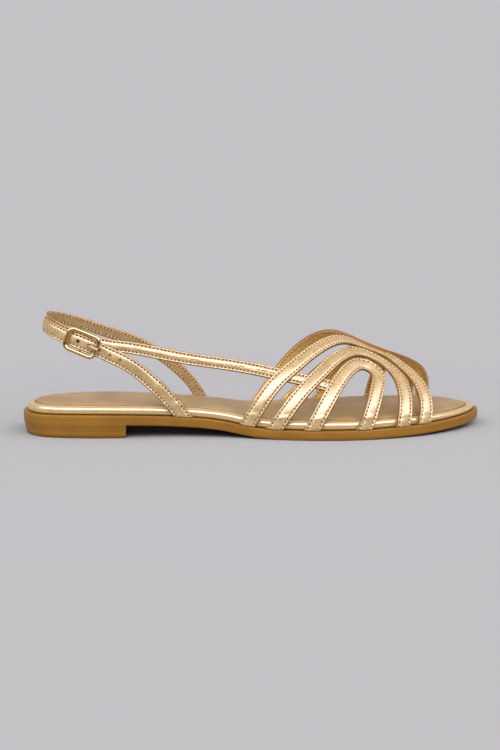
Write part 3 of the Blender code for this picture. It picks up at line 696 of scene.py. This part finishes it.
def makeRubber(name, look):
    made, tree, place = startMaterial(name)
    cloud = noise(tree, place, 45.0, 4.0, 0.55)
    grain = noise(tree, place, 1800.0, 3.0, 0.6)
    layered = addNode(tree, "ShaderNodeMapping",
                      {"Vector": place, "Scale": (6.0, 6.0, 900.0)})
    lines = noise(tree, layered.outputs["Vector"], 1.0, 2.0, 0.5)
    share = maths(tree, "ADD", maths(tree, "MULTIPLY", cloud, 0.7),
                  maths(tree, "MULTIPLY", lines, 0.3))
    colour = tint(tree, ramp(tree, share, 0.0, 1.0, 0.35, 0.65), look["deep"], look["side"])
    # darker towards the floor, in patches, over the lowest millimetres
    height = addNode(tree, "ShaderNodeSeparateXYZ", {"Vector": place}).outputs["Z"]
    darkToFloor = maths(tree, "MULTIPLY", ramp(tree, height, 0.5, 0.0, 0.0003, look["darkToFloorHeight"]),
                 ramp(tree, cloud, 0.3, 1.0, 0.35, 0.6))
    normal = bump(tree, lines, 0.10, 0.0001)
    normal = bump(tree, grain, 0.12, 0.00006, normal)
    setShader(tree, {"Base Color": tint(tree, darkToFloor, colour, look["darkToFloor"]), "Normal": normal,
                     "Roughness": ramp(tree, grain, *look["roughness"], 0.3, 0.7),
                     "Specular IOR Level": 0.25})
    return made


def makeMetal(name, look):
    made, tree, place = startMaterial(name)
    haze = noise(tree, place, 700.0, 4.0, 0.6)
    setShader(tree, {"Base Color": (*look["colour"], 1), "Metallic": 1.0,
                     "Roughness": ramp(tree, haze, *look["roughness"], 0.35, 0.65),
                     "Normal": bump(tree, haze, 0.04, 0.0001)})
    return made


goldLeather = makeGold("goldLeather", goldLook, stitched=True)
liningLiftedForShade = makeGold("liningLiftedForShade", liningLookLiftedForShade, stitched=True)
slingLiningDimmedForLight = makeGold("slingLiningDimmedForLight", slingLiningLookDimmedForLight, stitched=True)
wrapLeather = makeGold("wrapLeather", footbedLook)
sockLeather = makeGold("sockLeather", sockLook)
edgePaintAndShadeLine = makePlain("edgePaintAndShadeLine", edgeAndShadeLineLook)
goldThread = makePlain("goldThread", threadLook)
caramelRubber = makeRubber("caramelRubber", rubberLook)
polishedMetal = makeMetal("polishedMetal", metalLook)
print("finishes made")


def flatStrap(length, width, tipped, lining):
    # a strap flat on the table: along X from 0, its lining at height 0
    half = width / 2
    right = [(half, strap["crown"])] + list(strapSection) + [(half, 0.0)]
    section = [(half - min(inward, half - strap["middleGap"] * (inward < half)), high)
               for inward, high in right]
    ring = section + [(-y, high) for y, high in section[-2:0:-1]]
    around = len(ring)
    stitches = math.ceil(length / strap["stitchPitch"])
    steps = stitches * strap["stepsPerStitch"]
    bpy.ops.mesh.primitive_grid_add(x_subdivisions=steps, y_subdivisions=around, size=2)
    piece = bpy.context.active_object
    co = coordsOf(piece)
    i = np.rint((co[:, 0] + 1) / 2 * steps).astype(int)
    j = np.rint((co[:, 1] + 1) / 2 * around).astype(int) % around
    outline = np.array(ring)
    x = i / steps * length
    y = outline[j, 0]
    z = outline[j, 1] * strap["thickness"]
    groove = np.isclose(half - np.abs(y), strap["stitchInset"])
    hole = groove & (z > strap["thickness"] / 2) & (i % strap["stepsPerStitch"] == 0)
    z = z - np.where(hole, strap["holeDepth"], 0.0) * strap["thickness"]
    if tipped:
        back = np.clip(1 - (length - x) / (strap["tipReach"] * strap["thickness"]), 0, 1)
        z = z + (strap["thickness"] / 2 - z) * strap["tipThin"] * back ** 2
    setCoords(piece, np.stack([x, y, z], 1))
    spread = piece.data.uv_layers.new(name="strapMap")
    owner = np.zeros(len(piece.data.loops), np.int32)
    piece.data.loops.foreach_get("vertex_index", owner)
    along, inward = x * stitches * strap["stitchPitch"] / length, half - np.abs(y)
    if tipped:  # the stitch line turns across the tip
        across = length - x < inward
        along[across], inward[across] = y[across], (length - x)[across]
    uv = np.stack([along[owner] * 1000, inward[owner] * 1000], 1)
    spread.data.foreach_set("uv", uv.astype(np.float32).ravel())
    # The rows of faces run round the section in order: face, edge, lining, edge, face
    corner = np.array([p.vertices[0] for p in piece.data.polygons])
    other = np.array([p.vertices[2] for p in piece.data.polygons])
    row = np.minimum(j[corner], j[other])
    row = np.where(np.abs(j[corner] - j[other]) > 1, around - 1, row)
    fold = np.minimum(row, around - 1 - row)
    finish = np.where(fold < faceRows, 0, np.where(fold < edgeRows, 1, 2))
    paint(piece, goldLeather, edgePaintAndShadeLine, lining)
    piece.data.polygons.foreach_set("material_index", finish.astype(np.int32))
    pickOnly(piece)
    editAll()
    bpy.ops.mesh.remove_doubles(threshold=1e-6)
    bpy.ops.mesh.fill_holes(sides=0)
    bpy.ops.mesh.select_all(action="SELECT")
    bpy.ops.mesh.normals_make_consistent(inside=False)
    leaveEdit()
    return piece, stitches


def flatStitching(length, width, stitches, tipped):
    # rows of thread on both faces of a flat strap, modelled once and repeated
    half = width / 2 - strap["stitchInset"]
    rows = [(side, share * strap["thickness"]) for side in (-half, half)
            for share in strap["threadHeights"]]
    bpy.ops.mesh.primitive_uv_sphere_add(segments=8, ring_count=5, radius=0.5)
    thread = bpy.context.active_object
    editAll()
    bpy.ops.transform.rotate(value=math.radians(90), orient_axis="Y",
                             center_override=(0, 0, 0))
    size = (strap["threadLength"], strap["threadWidth"], strap["threadWidth"])
    bpy.ops.transform.resize(value=size, center_override=(0, 0, 0))
    leaveEdit()
    pieces = []
    if tipped:
        pick = coordsOf(thread)
        for y in (-0.5 * strap["stitchPitch"], 0.5 * strap["stitchPitch"]):
            turned = copyOf(thread)
            spot = [length - strap["stitchInset"], y, rows[0][1]]
            setCoords(turned, np.stack([-pick[:, 1], pick[:, 0], pick[:, 2]], 1) + spot)
            pieces.append(turned)
    repeat = thread.modifiers.new("Row", "ARRAY")
    repeat.count = stitches
    repeat.use_relative_offset = False
    repeat.use_constant_offset = True
    repeat.constant_offset_displace = (length / stitches, 0, 0)
    applyAll(thread)
    setCoords(thread, coordsOf(thread) + [length / stitches / 2, 0, 0])
    for side, height in rows:
        pieces.append(copyOf(thread, (0, side, height)))
    bpy.data.objects.remove(thread)
    return joined(pieces)


def copyOf(piece, shift=(0, 0, 0)):
    twin = piece.copy()
    twin.data = piece.data.copy()
    bpy.context.collection.objects.link(twin)
    setCoords(twin, coordsOf(twin) + shift)
    return twin


def joined(pieces):
    wipeSelection()
    for piece in pieces:
        piece.select_set(True)
    bpy.context.view_layer.objects.active = pieces[0]
    bpy.ops.object.join()
    return bpy.context.active_object


# Creases across the straps above their feet: height above the sole's upper face, rise
# outward (a trough is negative), half width, slant along the strap, in metres and shares
creaseRows = (
    # height, rise, half width, slant
    (0.0066, 0.00018, 0.00110, 0.10),
    (0.0053, -0.00006, 0.00050, -0.20),
    (0.0042, -0.00008, 0.00045, 0.24),
    (0.0030, -0.00005, 0.00040, -0.14),
    (0.0088, -0.00006, 0.00110, 0.18),
)


def layOn(piece, path):
    # bends a flat piece along a strap's path, its feet tucked in under the footbed
    co = coordsOf(piece)
    at = path["start"] + co[:, 0]
    normal = unit(onPath(path, at, "normal"))
    spot = (onPath(path, at, "line") + unit(onPath(path, at, "across")) * co[:, 1:2]
            + normal * co[:, 2:3])
    above = spot[:, 2] - deck(spot[:, 0])
    swell = 0 * above
    for height, rise, half, slant in creaseRows:
        away = above + slant * co[:, 1] - height
        swell += rise * np.exp(-(away / half) ** 2)
    spot += normal * swell[:, None]
    bend = strap["footBend"]
    below = bend - (spot[:, 2] - deck(spot[:, 0]))
    low = ((at < path["run"][-1] / 2) | path["bothFeet"]) & (below > 0)
    turn = np.minimum(below / bend, math.pi / 2)
    inward = bend * (1 - np.cos(turn)) + np.maximum(below - bend * math.pi / 2, 0)
    out = np.where(spot[:, 1:2] < 0, edgeNormal(spot[:, 0], -1), edgeNormal(spot[:, 0], 1))
    spot[:, :2] -= np.where(low, inward, 0)[:, None] * out
    level = deck(spot[:, 0]) + 0.0001 + bend * (1 - np.sin(turn))
    spot[:, 2] = np.where(low, level, spot[:, 2])
    setCoords(piece, spot)


def layStrap(name, path, nodes, lining, tipped=False, holes=()):
    piece, stitches = flatStrap(path["length"], path["width"], tipped, lining)
    for at, size, depth in holes:
        punchHole(piece, at - path["start"], size, depth)
    thread = flatStitching(path["length"], path["width"], stitches, tipped)
    layOn(piece, path)
    layOn(thread, path)
    finishPiece(piece, name, nodes, 50)
    paint(thread, goldThread)
    finishPiece(thread, name + "Stitching", (), 60)


def punchHole(piece, at, size, depth):
    face = strapSection[0][1] * strap["thickness"]
    bpy.ops.mesh.primitive_cylinder_add(vertices=24, radius=size / 2, depth=2 * depth,
                                        location=(at, 0, face))
    punch = bpy.context.active_object
    paint(punch, edgePaintAndShadeLine)
    cut = piece.modifiers.new("Hole", "BOOLEAN")
    cut.operation, cut.solver, cut.object = "DIFFERENCE", "EXACT", punch
    cut.material_mode = "TRANSFER"  # the cut wall takes the punch's finish
    applyAll(piece)
    bpy.data.objects.remove(punch)


for place, side in (("lateral", -1), ("medial", 1)):
    for word in ("Inner", "Middle", "Outer"):
        layStrap(place + word + "Strap", loopPath(loopRows[place + word], side), ("upper",),
                 liningLiftedForShade)
slingLine, slingNormal = hoopLine(slingRows, -1)
layStrap("slingStrap", pathOf(slingLine, slingNormal, strap["slingWidth"], False),
         ("upper",), slingLiningDimmedForLight)
print("upper laid")

# Buckle: sizes in metres, holes in spacings from its centre towards the sole
buckle = {
    "length": 0.0190,
    "width": 0.0131,
    "wire": 0.0022,
    "corner": 0.0040,
    "bar": 0.0012,
    "prong": 0.0012,
    "spacing": 0.0059,
    "hole": 0.0018,
    "mark": 0.0014,
    "markDepth": 0.0005,
    "station": 0.0340,  # from the sole's rear end
    "holes": (-0.37, 0.66, 1.66, 2.66, 3.66),
    "open": 2,  # the others are only marked on the face
    "flatten": 0.9,  # height of the frame's wire, as a share of its width
}
frameHalf = buckle["length"] / 2 - buckle["wire"] / 2
frameSide = buckle["width"] / 2 - buckle["wire"] / 2

# Wave of the strap over the bar: half frame lengths from it, share of the whole rise
waveRows = ((0.0, 1.0), (0.45, 0.93), (0.9, 0.42), (1.4, 0.0), (1.8, 0.0))


def buckleStrapLine():
    line, normal = hoopLine(buckleStrapRows, 1)
    along = line[:, 0] / last["length"] + 0.5
    lift = readRows(buckleStrapRows[::-1], 3, along)[:, None] * strap["thickness"]
    line = restOn(line - normal * lift, slingLine, normal) + normal * lift
    run = runOf(line)
    middle = np.interp(-(buckle["station"] - last["length"] / 2), -line[:, 0], run)
    away = np.abs(run - middle) / (buckle["length"] / 2)
    rise = np.maximum(readRows(waveRows, 1, away), 0)[:, None]
    rise = rise * (buckle["bar"] + last["gap"])
    return line + normal * rise, normal, middle


def seatBuckle(line, normal, middle):
    # where the frame stands, the height of the bar below it and the strap's run there
    run = runOf(line)

    def at(reach, table):
        return Vector(pointsAt(table, run, middle + reach))

    xAxis = (at(-frameHalf, line) - at(frameHalf, line)).normalized()
    zAxis = at(0, normal)
    zAxis = (zAxis - xAxis * zAxis.dot(xAxis)).normalized()
    yAxis = zAxis.cross(xAxis)
    turn = Matrix((xAxis, yAxis, zAxis)).transposed().to_4x4()
    centre = (at(frameHalf, line) + at(-frameHalf, line)) / 2
    centre += yAxis * (at(0, line) - centre).dot(yAxis) / 2
    under = [(at(end + reach, line) - centre).dot(zAxis) for end in (frameHalf, -frameHalf)
             for reach in (-buckle["wire"] / 2, buckle["wire"] / 2)]
    height = max(under) + strap["thickness"] + last["gap"] + buckle["wire"] / 2
    crown = (at(0, line) - centre).dot(zAxis)
    sink = height - (crown - last["gap"] - buckle["bar"] / 2)
    return Matrix.Translation(centre + zAxis * height) @ turn, sink


def makeFrame(place, sink):
    # a wire ring drawn out to a rounded rectangle, with its bar
    bend = buckle["corner"] - buckle["wire"] / 2
    outline = []
    for cx, cy, start in ((1, 1, 0), (-1, 1, 90), (-1, -1, 180), (1, -1, 270)):
        for step in range(13):
            a = math.radians(start + 7.5 * step)
            outline.append((cx * (frameHalf - bend) + bend * math.cos(a),
                            cy * (frameSide - bend) + bend * math.sin(a)))
    outline = np.array(outline + outline[:1])
    run = runOf(outline)
    thick = 0.25  # of the ring that is drawn out to the frame's outline
    bpy.ops.mesh.primitive_torus_add(major_segments=120, minor_segments=20,
                                     major_radius=1.0, minor_radius=thick)
    frameRing = bpy.context.active_object
    co = coordsOf(frameRing)
    at = (np.degrees(np.arctan2(co[:, 1], co[:, 0])) % 360) / 360 * run[-1]
    line = pointsAt(outline, run, at)
    ahead = pointsAt(outline, run, (at + 0.0002) % run[-1]) - line
    back = line - pointsAt(outline, run, (at - 0.0002) % run[-1])
    flow = unit(ahead + back)
    out = np.stack([flow[:, 1], -flow[:, 0]], 1)
    swell = (np.hypot(co[:, 0], co[:, 1]) - 1.0) / thick * buckle["wire"] / 2
    rise = co[:, 2] / thick * buckle["wire"] / 2 * buckle["flatten"]
    setCoords(frameRing, np.column_stack([line + out * swell[:, None], rise]))
    frameRing.data.transform(place)
    bpy.ops.mesh.primitive_cylinder_add(vertices=20, radius=buckle["bar"] / 2,
                                        depth=2 * frameSide)
    bar = bpy.context.active_object
    turn = Matrix.Rotation(math.radians(90), 4, "X")
    bar.data.transform(place @ Matrix.Translation((0, 0, -sink)) @ turn)
    frameRing = joined([frameRing, bar])
    paint(frameRing, polishedMetal)
    finishPiece(frameRing, "buckleFrame", ("buckle_frame",), 50)


def makeProng(place, sink):
    # a wire from the bar through the second hole and over the frame
    spot = buckle["holes"][1] * buckle["spacing"]
    radius = buckle["prong"] / 2
    over = buckle["wire"] / 2 + last["gap"] + radius
    root = -sink - 0.5 * last["gap"]
    points = [(buckle["bar"] / 2 + last["gap"] + radius, root),
              (spot - 1.2 * radius, root), (spot - 0.2 * radius, root + 0.8 * radius),
              (spot, root + 1.8 * radius), (spot, 0.0), (spot + 0.7 * radius, 1.8 * radius),
              (spot + 2.3 * radius, 2.8 * radius), (frameHalf - radius, over),
              (frameHalf + 1.7 * radius, over)]
    bpy.ops.curve.primitive_nurbs_path_add()
    wire = bpy.context.active_object.data
    wire.dimensions, wire.bevel_depth, wire.bevel_resolution = "3D", radius, 5
    wire.use_fill_caps = True
    spline = wire.splines[0]
    spline.points.add(len(points) - len(spline.points))
    for point, (x, z) in zip(spline.points, points):
        point.co = (*(place @ Vector((x, 0, z))), 1.0)
    spline.use_endpoint_u = True
    spline.order_u = 3
    spline.resolution_u = 6
    bpy.ops.object.convert(target="MESH")
    prong = bpy.context.active_object
    editAll()
    bpy.ops.mesh.remove_doubles(threshold=1e-6)
    leaveEdit()
    paint(prong, polishedMetal)
    finishPiece(prong, "buckleProng", ("buckle_prong",), 50)


buckleLine, buckleNormal, buckleMiddle = buckleStrapLine()
bucklePath = pathOf(buckleLine, buckleNormal, strap["width"], False)
grown = bucklePath["run"][-1] - runOf(buckleLine)[-1]
punched = []
for k, share in enumerate(buckle["holes"]):
    at = grown + buckleMiddle - share * buckle["spacing"]
    punched.append((at, buckle["hole"], 3 * strap["thickness"]) if k < buckle["open"] else
                   (at, buckle["mark"], buckle["markDepth"]))
layStrap("buckleStrap", bucklePath, ("buckle_strap",), slingLiningDimmedForLight, True, punched)
seat = seatBuckle(buckleLine, buckleNormal, buckleMiddle)
makeFrame(*seat)
makeProng(*seat)
print("buckle made")


def sides(count, reach=None):
    # points on the lateral and on the medial edge, closer together where it turns
    out = []
    for edge in (lateralEdge, medialEdge):
        run = runOf(edge)
        top = run[-1] if reach is None else np.interp(reach, edge[:, 0], run)
        at = np.linspace(0, 1, count + 1)
        at = at - (0.1 * np.sin(2 * math.pi * at) if reach is None
                   else 0.1 * np.sin(math.pi * at))
        out.append(pointsAt(edge, run, at * top))
    return out


def drawnIn(loop, inset):
    flow = np.roll(loop, -1, 0) - np.roll(loop, 1, 0)
    inward = unit(np.stack([-flow[:, 1], flow[:, 0]], 1))
    return loop + inward * inset


def spineOf(loop):
    # middle line that a loop closes on, kept clear of its two ends
    twin = np.roll(loop[::-1], 1, 0)
    middle = (loop + twin) / 2
    low, high = loop[:, 0].min() + soleForm["ends"], loop[:, 0].max() - soleForm["ends"]
    x = np.clip(middle[:, 0], low, high)
    order = np.argsort(middle[:, 0])
    y = np.interp(x, middle[order, 0], middle[order, 1])
    return np.stack([x, y], 1)


def stackRings(rings):
    # closed form from loops, drawn up one after the other from a circle
    bpy.ops.mesh.primitive_circle_add(vertices=len(rings[0]), radius=0.1,
                                      fill_type="NOTHING")
    piece = bpy.context.active_object
    setCoords(piece, np.array(rings[0]))
    editAll()
    for _ in rings[1:]:
        bpy.ops.mesh.extrude_region_move()
    leaveEdit()
    setCoords(piece, np.vstack(rings))
    editAll()
    bpy.ops.mesh.remove_doubles(threshold=2e-6)
    bpy.ops.mesh.normals_make_consistent(inside=False)
    leaveEdit()
    return piece


# Moulded sole: sizes in metres
soleForm = {
    "steps": 90,
    "round": 0.0006,  # its rounded edges
    "inset": 0.0040,  # where the flat faces begin
    "ends": 0.016,  # their middle line stops this far from heel and toe
    "shares": (1.0, 0.85, 0.6, 0.35, 0.15),  # rings between that line and the inset
    "heelLength": 0.0558,
    "heelTaper": 0.0014,
    "heelSteps": 40,
    "heelLine": 0.0032,  # height of the line round the heel
    "lineWidth": 0.0002,  # half of it
    "lineDepth": 0.00004,
    "heelProud": 0.00003,  # how far the heel's top stands out of the sole
}


def closing(loop, height, lift=0.0):
    # rings that carry a face from its middle line out to a loop
    spine = spineOf(loop)
    rings = []
    for share in soleForm["shares"]:
        flat = loop * (1 - share) + spine * share
        rings.append(np.column_stack([flat, height(flat[:, 0]) + lift]))
    return rings


def planLoop():
    lateral, medial = sides(soleForm["steps"])
    return np.vstack([lateral, medial[-2:0:-1]])


def ringAt(loop, inset, height, lift=0.0):
    flat = drawnIn(loop, inset)
    return np.column_stack([flat, height(flat[:, 0]) + lift])


def makeOutsole():
    loop = planLoop()
    turned = soleForm["round"]
    thick = last["soleThickness"]
    flat = drawnIn(loop, soleForm["inset"])
    rings = closing(flat, underside)
    rings.append(ringAt(loop, soleForm["inset"], underside))
    for inset, level in ((turned, 0.0), (0.6 * turned, 0.02 * turned),
                         (0.25 * turned, 0.22 * turned), (0.0, 0.8 * turned),
                         (0.0, 0.3 * thick), (0.0, 0.6 * thick),
                         (0.0, thick - 1.1 * turned), (0.15 * turned, thick - 0.5 * turned),
                         (0.5 * turned, thick - 0.12 * turned), (1.2 * turned, thick)):
        rings.append(ringAt(loop, inset, underside, level))
    rings.append(ringAt(loop, soleForm["inset"], deck))
    piece = stackRings(rings + closing(flat, deck)[::-1])
    paint(piece, caramelRubber)
    finishPiece(piece, "outsoleBody", ("outsole",), 60)


def makeHeel():
    breast = -last["length"] / 2 + soleForm["heelLength"]
    lateral, medial = sides(soleForm["heelSteps"], breast)
    across = np.linspace(0, 1, 13)[1:-1, None]
    front = lateral[-1] * (1 - across) + medial[-1] * across
    loop = np.vstack([lateral, front, medial[:0:-1]])
    corner = (len(lateral) - 1, len(lateral) + len(front))
    turned, taper = soleForm["round"], soleForm["heelTaper"]
    seam = turned / 3

    def ring(inset, height, lift=0.0):
        flat = drawnIn(loop, inset)
        flat[corner[0]:corner[1] + 1, 0] = breast - (inset - min(inset, seam)) * 0.3
        flat[corner[0], 1] = -halfWidth(breast, -1) + inset
        flat[corner[1], 1] = halfWidth(breast, 1) - inset
        flat[corner[0] + 1:corner[1], 1] = (flat[corner[0], 1] * (1 - across[:, 0])
                                            + flat[corner[1], 1] * across[:, 0])
        return np.column_stack([flat, height(flat[:, 0]) + lift])

    line, above = soleForm["heelLine"], soleForm["lineWidth"]
    wall = taper * (1 - 0.9 * line / last["heelRise"])
    middle = ring(taper + turned, np.zeros_like)
    spot = middle[:, :2].mean(0)
    rings = [np.column_stack([middle[:, :2] * (1 - s) + spot * s, 0 * middle[:, 2]])
             for s in (1.0, 0.7, 0.35)]
    for inset, level in ((taper + turned, 0.0), (taper + 0.4 * turned, 0.08 * turned),
                         (taper, 0.7 * turned), (wall, line - above),
                         (wall + soleForm["lineDepth"], line), (wall, line + above)):
        rings.append(ring(inset, np.zeros_like, level))
    inside = 0.4 * last["soleThickness"]  # its top is hidden in the sole
    for inset, level in ((seam, -2 * seam), (-soleForm["heelProud"], 0.6 * turned),
                         (-soleForm["heelProud"], 1.1 * turned), (seam + turned, inside)):
        rings.append(ring(inset, underside, level))
    top = rings[-1]
    rings += [np.column_stack([top[:, :2] * (1 - s) + spot * s,
                               underside(top[:, 0]) + inside]) for s in (0.4, 1.0)]
    rings[-1][:, 2] = rings[-1][:, 2].mean()
    piece = stackRings(rings)
    paint(piece, caramelRubber)
    finishPiece(piece, "heelBlock", ("outsole",), 35)


footbed = {
    "height": 0.0054,
    "shoulder": 0.0024,
    "sock": 0.0008,
    "sockMargin": 0.0043,
    "layerGap": 0.0004,
    "cushion": 0.0055,  # how far in the sock's soft edge reaches
    # height of the painted shade line along the sole
    "paintedShadeLine": 0.0006,
}

# Top of the footbed: share of length, shares of its height at the rim and the middle
footbedRows = (
    # along, rim, middle
    (0.00, 0.84, 0.94),
    (0.25, 0.85, 0.94),
    (0.50, 0.87, 0.97),
    (0.65, 0.86, 1.00),
    (0.80, 0.80, 1.00),
    (0.88, 0.68, 0.96),
    (0.94, 0.55, 0.80),
    (1.00, 0.46, 0.56),
)

# Soft edge of the cushion: share of cushion inwards, share of the rise to the middle
cushionRows = (
    # inward, rise
    (0.00, 0.00),
    (0.12, 0.24),
    (0.26, 0.46),
    (0.45, 0.68),
    (0.70, 0.89),
    (1.00, 1.00),
)

# Fold of the wrap on the sole, in metres
foldRows = (
    # inward, up
    (0.0009, 0.0000),
    (0.0003, 0.0002),
    (0.0000, 0.0006),
)

# Rounded shoulder: shares of the shoulder inwards and below the rim
shoulderRows = (
    # inward, below
    (0.00, 1.25),
    (0.02, 1.02),
    (0.07, 0.78),
    (0.16, 0.56),
    (0.29, 0.36),
    (0.46, 0.19),
    (0.68, 0.07),
    (1.00, 0.00),
)


def footbedTop(x, rise):
    along = shareAlong(x)
    rim = readRows(footbedRows, 1, along)
    middle = readRows(footbedRows, 2, along)
    return deck(x) + footbed["height"] * (rim + (middle - rim) * rise)


def rimTop(x):
    return footbedTop(x, 0)


def rimShare(x):
    return (rimTop(x) - deck(x)) / footbed["height"]


def cushionRings(sink):
    loop = drawnIn(planLoop(), last["ledge"] + footbed["sockMargin"])
    rings = [ringAt(loop, s * footbed["cushion"], lambda x, r=r: footbedTop(x, r), -sink)
             for s, r in cushionRows]
    inner = drawnIn(loop, footbed["cushion"])
    return rings + closing(inner, lambda x: footbedTop(x, 1), -sink)[::-1]


def makeFootbed():
    loop = drawnIn(planLoop(), last["ledge"])
    base = last["soleThickness"] + 0.5 * last["gap"]
    shoulder = footbed["shoulder"]
    well = footbed["sockMargin"] - footbed["layerGap"]
    rings = closing(drawnIn(loop, foldRows[0][0]), underside, base)
    for inset, up in foldRows:
        rings.append(ringAt(loop, inset, underside, base + up))
    for s, b in shoulderRows:
        rings.append(ringAt(loop, s * shoulder,
                            lambda x, b=b: rimTop(x) - b * shoulder * rimShare(x)))
    for inset, sink in ((0.5 * (shoulder + well), 0.0), (well - 0.0002, 0.00005),
                        (well, 0.0003), (well + 0.0001, footbed["sock"])):
        rings.append(ringAt(loop, inset, rimTop, -sink))
    piece = stackRings(rings + cushionRings(footbed["sock"]))
    paint(piece, wrapLeather, edgePaintAndShadeLine)
    for face in piece.data.polygons:  # painted shade along the sole, where the footbed meets it
        low = face.center.z < deck(face.center.x) + footbed["paintedShadeLine"]
        face.material_index = 1 if low else 0
    finishPiece(piece, "footbedWrap", ("footbed",), 60)


def makeSock():
    loop = drawnIn(planLoop(), last["ledge"] + footbed["sockMargin"])
    rings = cushionRings(footbed["sock"] - footbed["layerGap"] / 2)[::-1]
    for inset, up in ((0.0, -0.00010), (0.00008, 0.00016), (0.0003, 0.00030)):
        rings.append(ringAt(loop, inset, rimTop, up))
    piece = stackRings(rings + cushionRings(-footbed["layerGap"])[1:])
    paint(piece, sockLeather, edgePaintAndShadeLine)
    for face in piece.data.polygons:  # its cut edge
        face.material_index = 1 if abs(face.normal.z) < 0.6 else 0
    finishPiece(piece, "sockLiner", ("sock_liner",), 60)


makeOutsole()
makeHeel()
makeFootbed()
makeSock()
print("sole and footbed made")

# Studio: floor and backdrop of one pale grey, a band of soft light in front and above,
# and a dim zone behind the camera that the gloss mirrors
studio = {
    "grey": (0.558, 0.539, 0.565),
    "floorShare": 0.327,
    "floorTint": (0.985, 0.995, 0.990),
    "fade": (0.145, 0.35),  # the floor thins out to the backdrop, from and to this reach
    "bandLow": (0.36, 0.43),
    "bandHigh": (0.74, 0.96),
    "bandFront": (0.45, -0.25),
    "bandStrength": 5.6,
    "dimReach": (0.24, 0.10),
    "dimFront": (-0.20, -0.50),
    "dimStrength": 0.80,
    "boxSize": (1.7, 0.66),
    "boxDistance": 1.25,
    "boxElevation": 37.0,
    "boxPower": 5.0,
}
cameraView = {
    "distance": 0.70065,
    "elevation": 7.992,
    "azimuth": 3.631,
    "roll": -0.121,
    "target": (-0.00239, 0.0, 0.028724),
    "lens": 61.65,
}


def makeFloor():
    bpy.ops.mesh.primitive_circle_add(vertices=96, radius=1.6, fill_type="NGON")
    floor = bpy.context.active_object
    floor.name = "floor"
    made, tree, place = startMaterial("floorGrey")
    reach = addNode(tree, "ShaderNodeVectorMath", {0: place}, operation="LENGTH")
    share = ramp(tree, reach.outputs["Value"], 1.0, 0.0, *studio["fade"])
    grey = (*(c * studio["floorShare"] for c in studio["floorTint"]), 1)
    setShader(tree, {"Base Color": grey, "Alpha": share, "Roughness": 0.9,
                     "Specular IOR Level": 0.1})
    paint(floor, made)


def addSoftBox():
    light = bpy.data.lights.new("frontBox", "AREA")
    light.shape, light.energy = "RECTANGLE", studio["boxPower"]
    light.size, light.size_y = studio["boxSize"]
    lamp = bpy.data.objects.new("frontBox", light)
    e = math.radians(studio["boxElevation"])
    way = Vector((0, -math.cos(e), math.sin(e)))
    lamp.location = Vector((0, 0, 0.03)) + way * studio["boxDistance"]
    lamp.rotation_euler = way.to_track_quat("Z", "Y").to_euler()
    bpy.context.collection.objects.link(lamp)


def fall(tree, source, empty, full):  # 0 above empty, 1 below full
    return ramp(tree, source, 1.0, 0.0, full, empty)


def makeStudio():
    makeFloor()
    world = bpy.data.worlds.new("paleGrey")
    bpy.context.scene.world = world
    world.use_nodes = True
    tree = world.node_tree
    ground = tree.nodes["Background"]
    way = addNode(tree, "ShaderNodeSeparateXYZ",
                  {"Vector": addNode(tree, "ShaderNodeTexCoord").outputs["Generated"]})
    front, up = way.outputs["Y"], way.outputs["Z"]
    band = maths(tree, "MULTIPLY", ramp(tree, up, 0.0, 1.0, *studio["bandLow"]),
                 ramp(tree, up, 1.0, 0.0, *studio["bandHigh"]))
    band = maths(tree, "MULTIPLY", band, fall(tree, front, *studio["bandFront"]))
    level = fall(tree, maths(tree, "ABSOLUTE", up), *studio["dimReach"])
    dim = maths(tree, "MULTIPLY", level, fall(tree, front, *studio["dimFront"]))
    glow = maths(tree, "SUBTRACT", maths(tree, "MULTIPLY", band, studio["bandStrength"]),
                 maths(tree, "MULTIPLY", dim, studio["dimStrength"]))
    unseen = maths(tree, "SUBTRACT", 1.0,
                   addNode(tree, "ShaderNodeLightPath").outputs["Is Camera Ray"])
    strength = maths(tree, "MULTIPLY_ADD", glow, unseen, 1.0)
    feed(tree, ground, {"Color": (*studio["grey"], 1), "Strength": strength})
    addSoftBox()
    bpy.context.scene.view_settings.view_transform = "Standard"


def makeCamera():
    a, e = math.radians(cameraView["azimuth"]), math.radians(cameraView["elevation"])
    forward = Vector((math.sin(a) * math.cos(e), math.cos(a) * math.cos(e), -math.sin(e)))
    camera = bpy.data.objects.new("camera", bpy.data.cameras.new("camera"))
    bpy.context.collection.objects.link(camera)
    camera.location = Vector(cameraView["target"]) - forward * cameraView["distance"]
    turn = forward.to_track_quat("-Z", "Y").to_matrix()
    turn = turn @ Matrix.Rotation(math.radians(cameraView["roll"]), 3, "Z")
    camera.rotation_euler = turn.to_euler()
    camera.data.lens = cameraView["lens"]
    camera.data.clip_start, camera.data.clip_end = 0.01, 20.0
    bpy.context.scene.camera = camera


makeStudio()
makeCamera()
print("studio set")
